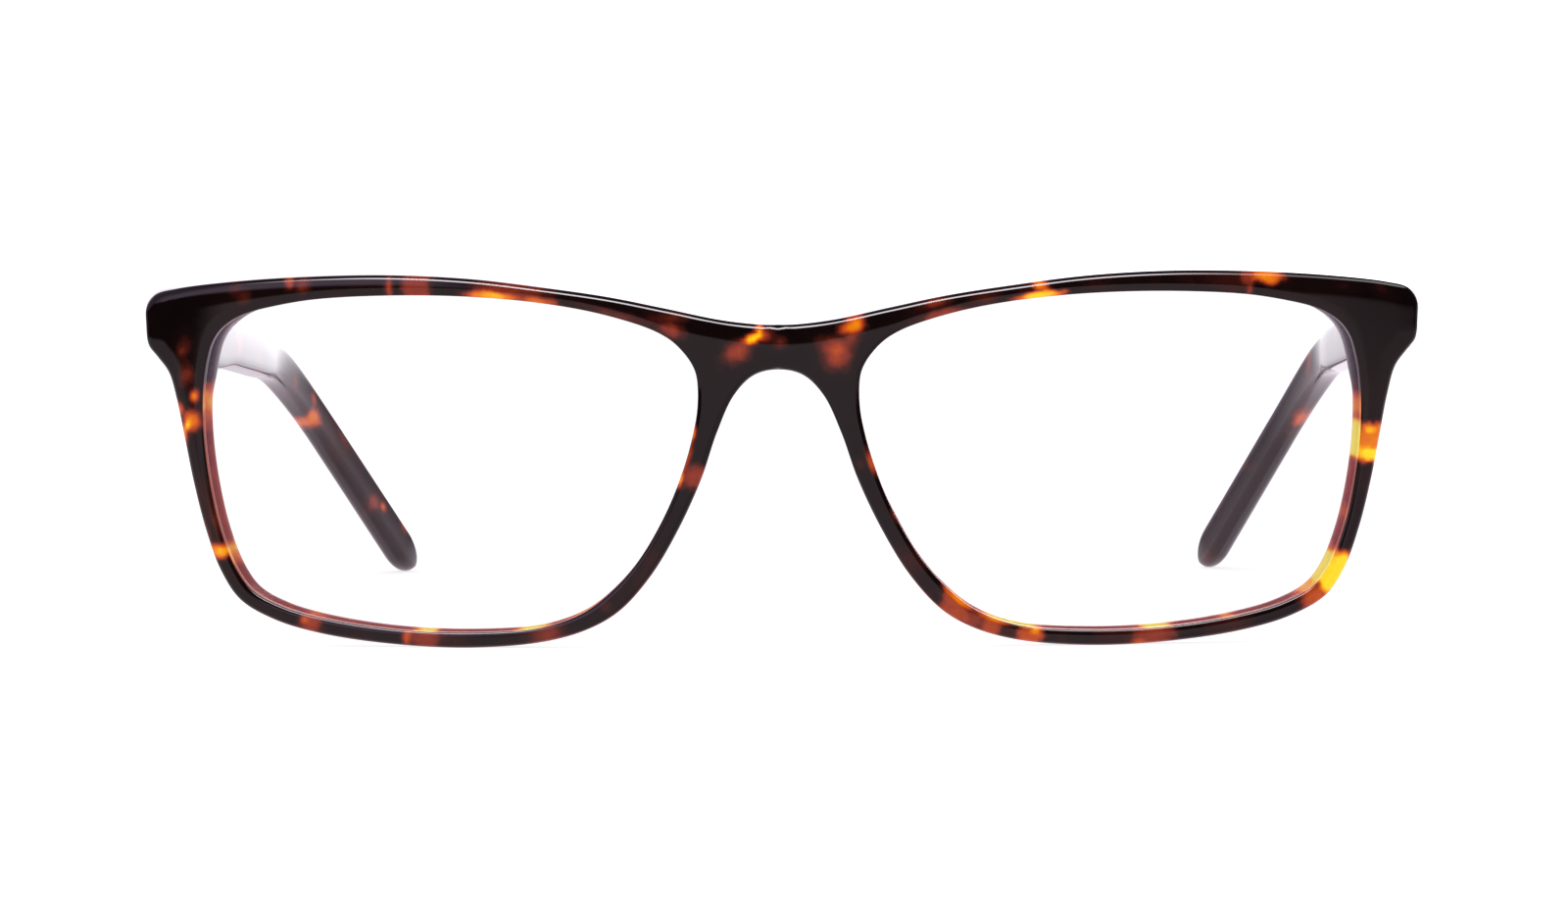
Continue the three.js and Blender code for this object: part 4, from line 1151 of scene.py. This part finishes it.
def build_world():
    """White studio. Gloss sees a dark room on the viewer's side, above a lit table."""
    world = bpy.data.worlds.new("studio")
    bpy.context.scene.world = world
    world.use_nodes = True
    n = Nodes(world.node_tree)
    direction = n.add(
        "ShaderNodeSeparateXYZ", {0: n.add("ShaderNodeTexCoord").outputs["Generated"]}
    )
    x, y, z = direction.outputs

    def both(a, b):
        return n.math("MULTIPLY", a, b)

    def band(value, start, full, last, end):
        return both(n.step(value, start, full), n.step(value, last, end, 1.0, 0.0))

    to_degrees = 180 / math.pi
    elevation = both(n.math("ARCSINE", z), to_degrees)
    azimuth = both(n.math("ARCTAN2", x, both(y, -1.0)), to_degrees)
    around = n.math("ABSOLUTE", azimuth)

    first, last = EDGE_AZIMUTHS
    edge_stops = [
        ((a - first) / (last - first), grey((e - EDGE_LOWEST) / -EDGE_LOWEST))
        for a, e in TABLE_EDGE
    ]
    edge_share = n.ramp(n.math("MULTIPLY_ADD", azimuth, 1 / (last - first), 0.5), edge_stops)
    edge = n.math("MULTIPLY_ADD", edge_share, -EDGE_LOWEST, EDGE_LOWEST)
    above_edge = n.math("SUBTRACT", elevation, edge)
    blur = n.step(azimuth, 22.0, 30.0, 1.0, 2.6)
    table = n.step(n.math("DIVIDE", above_edge, blur), -1.2, 0.8, 1.0, 0.0)
    left_dim = n.step(azimuth, 20.0, 34.0, 1.0, 0.78)
    table_share = both(both(table, left_dim), 0.58)

    # A grey wall to the right of the wearer, a long lamp in front over the rest, a dim table
    # behind, a white backdrop straight behind the frame and a soft light on each side of it.
    # On the wearer's right the table behind is dimmer and the backdrop starts 12 degrees
    # later, so that the bend of that temple mirrors less white.
    wall_fall = n.step(azimuth, -48.0, -36.0, 0.35, 1.0)
    grey_wall = both(n.step(azimuth, -13.0, -24.0), band(elevation, -0.5, 2.5, 50.0, 70.0))
    grey_wall = both(grey_wall, wall_fall)
    lamp = both(n.step(azimuth, -54.0, -32.0), band(elevation, 43.0, 52.0, 61.0, 70.0))
    lamp = both(lamp, n.step(azimuth, 18.0, 44.0, 1.0, 0.2))
    lamp = both(lamp, n.step(around, 100.0, 108.0, 1.0, 0.0))
    behind_stops = [(share, grey(value)) for share, value in BEHIND_STOPS]
    behind = n.ramp(n.math("DIVIDE", around, 180.0), behind_stops)
    behind = both(behind, n.step(elevation, -7.0, 4.0, 1.0, 0.14))
    behind = both(behind, n.step(azimuth, -10.0, 10.0, 0.74, 1.0))
    toward_backdrop = n.math("ADD", around, n.step(azimuth, -10.0, 10.0, -12.0, 0.0))
    backdrop = both(n.step(toward_backdrop, 148.0, 179.0), band(elevation, -5.5, 1.5, 16.0, 24.0))
    side_light = band(around, 114.0, 122.0, 136.0, 142.0)
    side_light = both(side_light, band(elevation, 1.0, 8.0, 24.0, 34.0))

    shares = {
        "table": table_share, "wall": grey_wall, "behind": behind, "backdrop": backdrop,
        "sides": side_light, "lamp": lamp,
    }
    room = (*DARK_ROOM, 1.0)
    for name, light in LIGHTS.items():
        room = n.mix(shares[name], room, (*light, 1.0))

    path = n.add("ShaderNodeLightPath")
    glossy = n.add("ShaderNodeBackground", {"Color": room, "Strength": 1.0})
    soft = n.add("ShaderNodeBackground", {"Color": (1.0, 0.99, 1.0, 1.0), "Strength": 0.95})
    seen = n.add("ShaderNodeBackground", {"Color": grey(1.0), "Strength": 1.18})
    lit = n.add("ShaderNodeMixShader", {0: path.outputs["Is Glossy Ray"], 1: soft, 2: glossy})
    shown = n.add("ShaderNodeMixShader", {0: path.outputs["Is Camera Ray"], 1: lit, 2: seen})
    n.add("ShaderNodeOutputWorld", {"Surface": shown})


def build_lamp():
    """Large soft lamp over the table."""
    data = bpy.data.lights.new("overhead", "AREA")
    data.shape = "RECTANGLE"
    data.size, data.size_y = 0.9, 0.7
    data.energy = 2.2
    lamp = in_scene("overhead", data)
    lamp.location = (-0.15, -0.05, 0.75)
    lamp.rotation_euler = (0.0, math.radians(-10), 0.0)
    lamp.visible_glossy = False


CAMERA_PLACE = (15.68, -586.0, 46.91)
CAMERA_TURNS = ((1.48, "Z"), (-2.5, "X"), (0.363, "Y"))  # yaw, pitch and roll in degrees


def build_camera():
    """Camera in front of the frame, a little aside and above it."""
    turn = Matrix.Identity(3)
    for degrees, axis in CAMERA_TURNS:
        turn = turn @ Matrix.Rotation(math.radians(degrees), 3, axis)
    right, forward, up = turn.col
    data = bpy.data.cameras.new("camera")
    data.sensor_width = 36.0
    data.lens = 127.17
    data.clip_start, data.clip_end = 0.01, 50.0
    camera = in_scene("camera", data)
    rotation = Matrix((right, up, -forward)).transposed().to_4x4()
    spot = Vector(CAMERA_PLACE) + Vector(ROW_OFFSET)
    camera.matrix_world = Matrix.Translation(spot * MM) @ rotation
    bpy.context.scene.camera = camera


build_floor()
build_world()
build_lamp()
build_camera()
bpy.context.scene.view_settings.view_transform = "Standard"
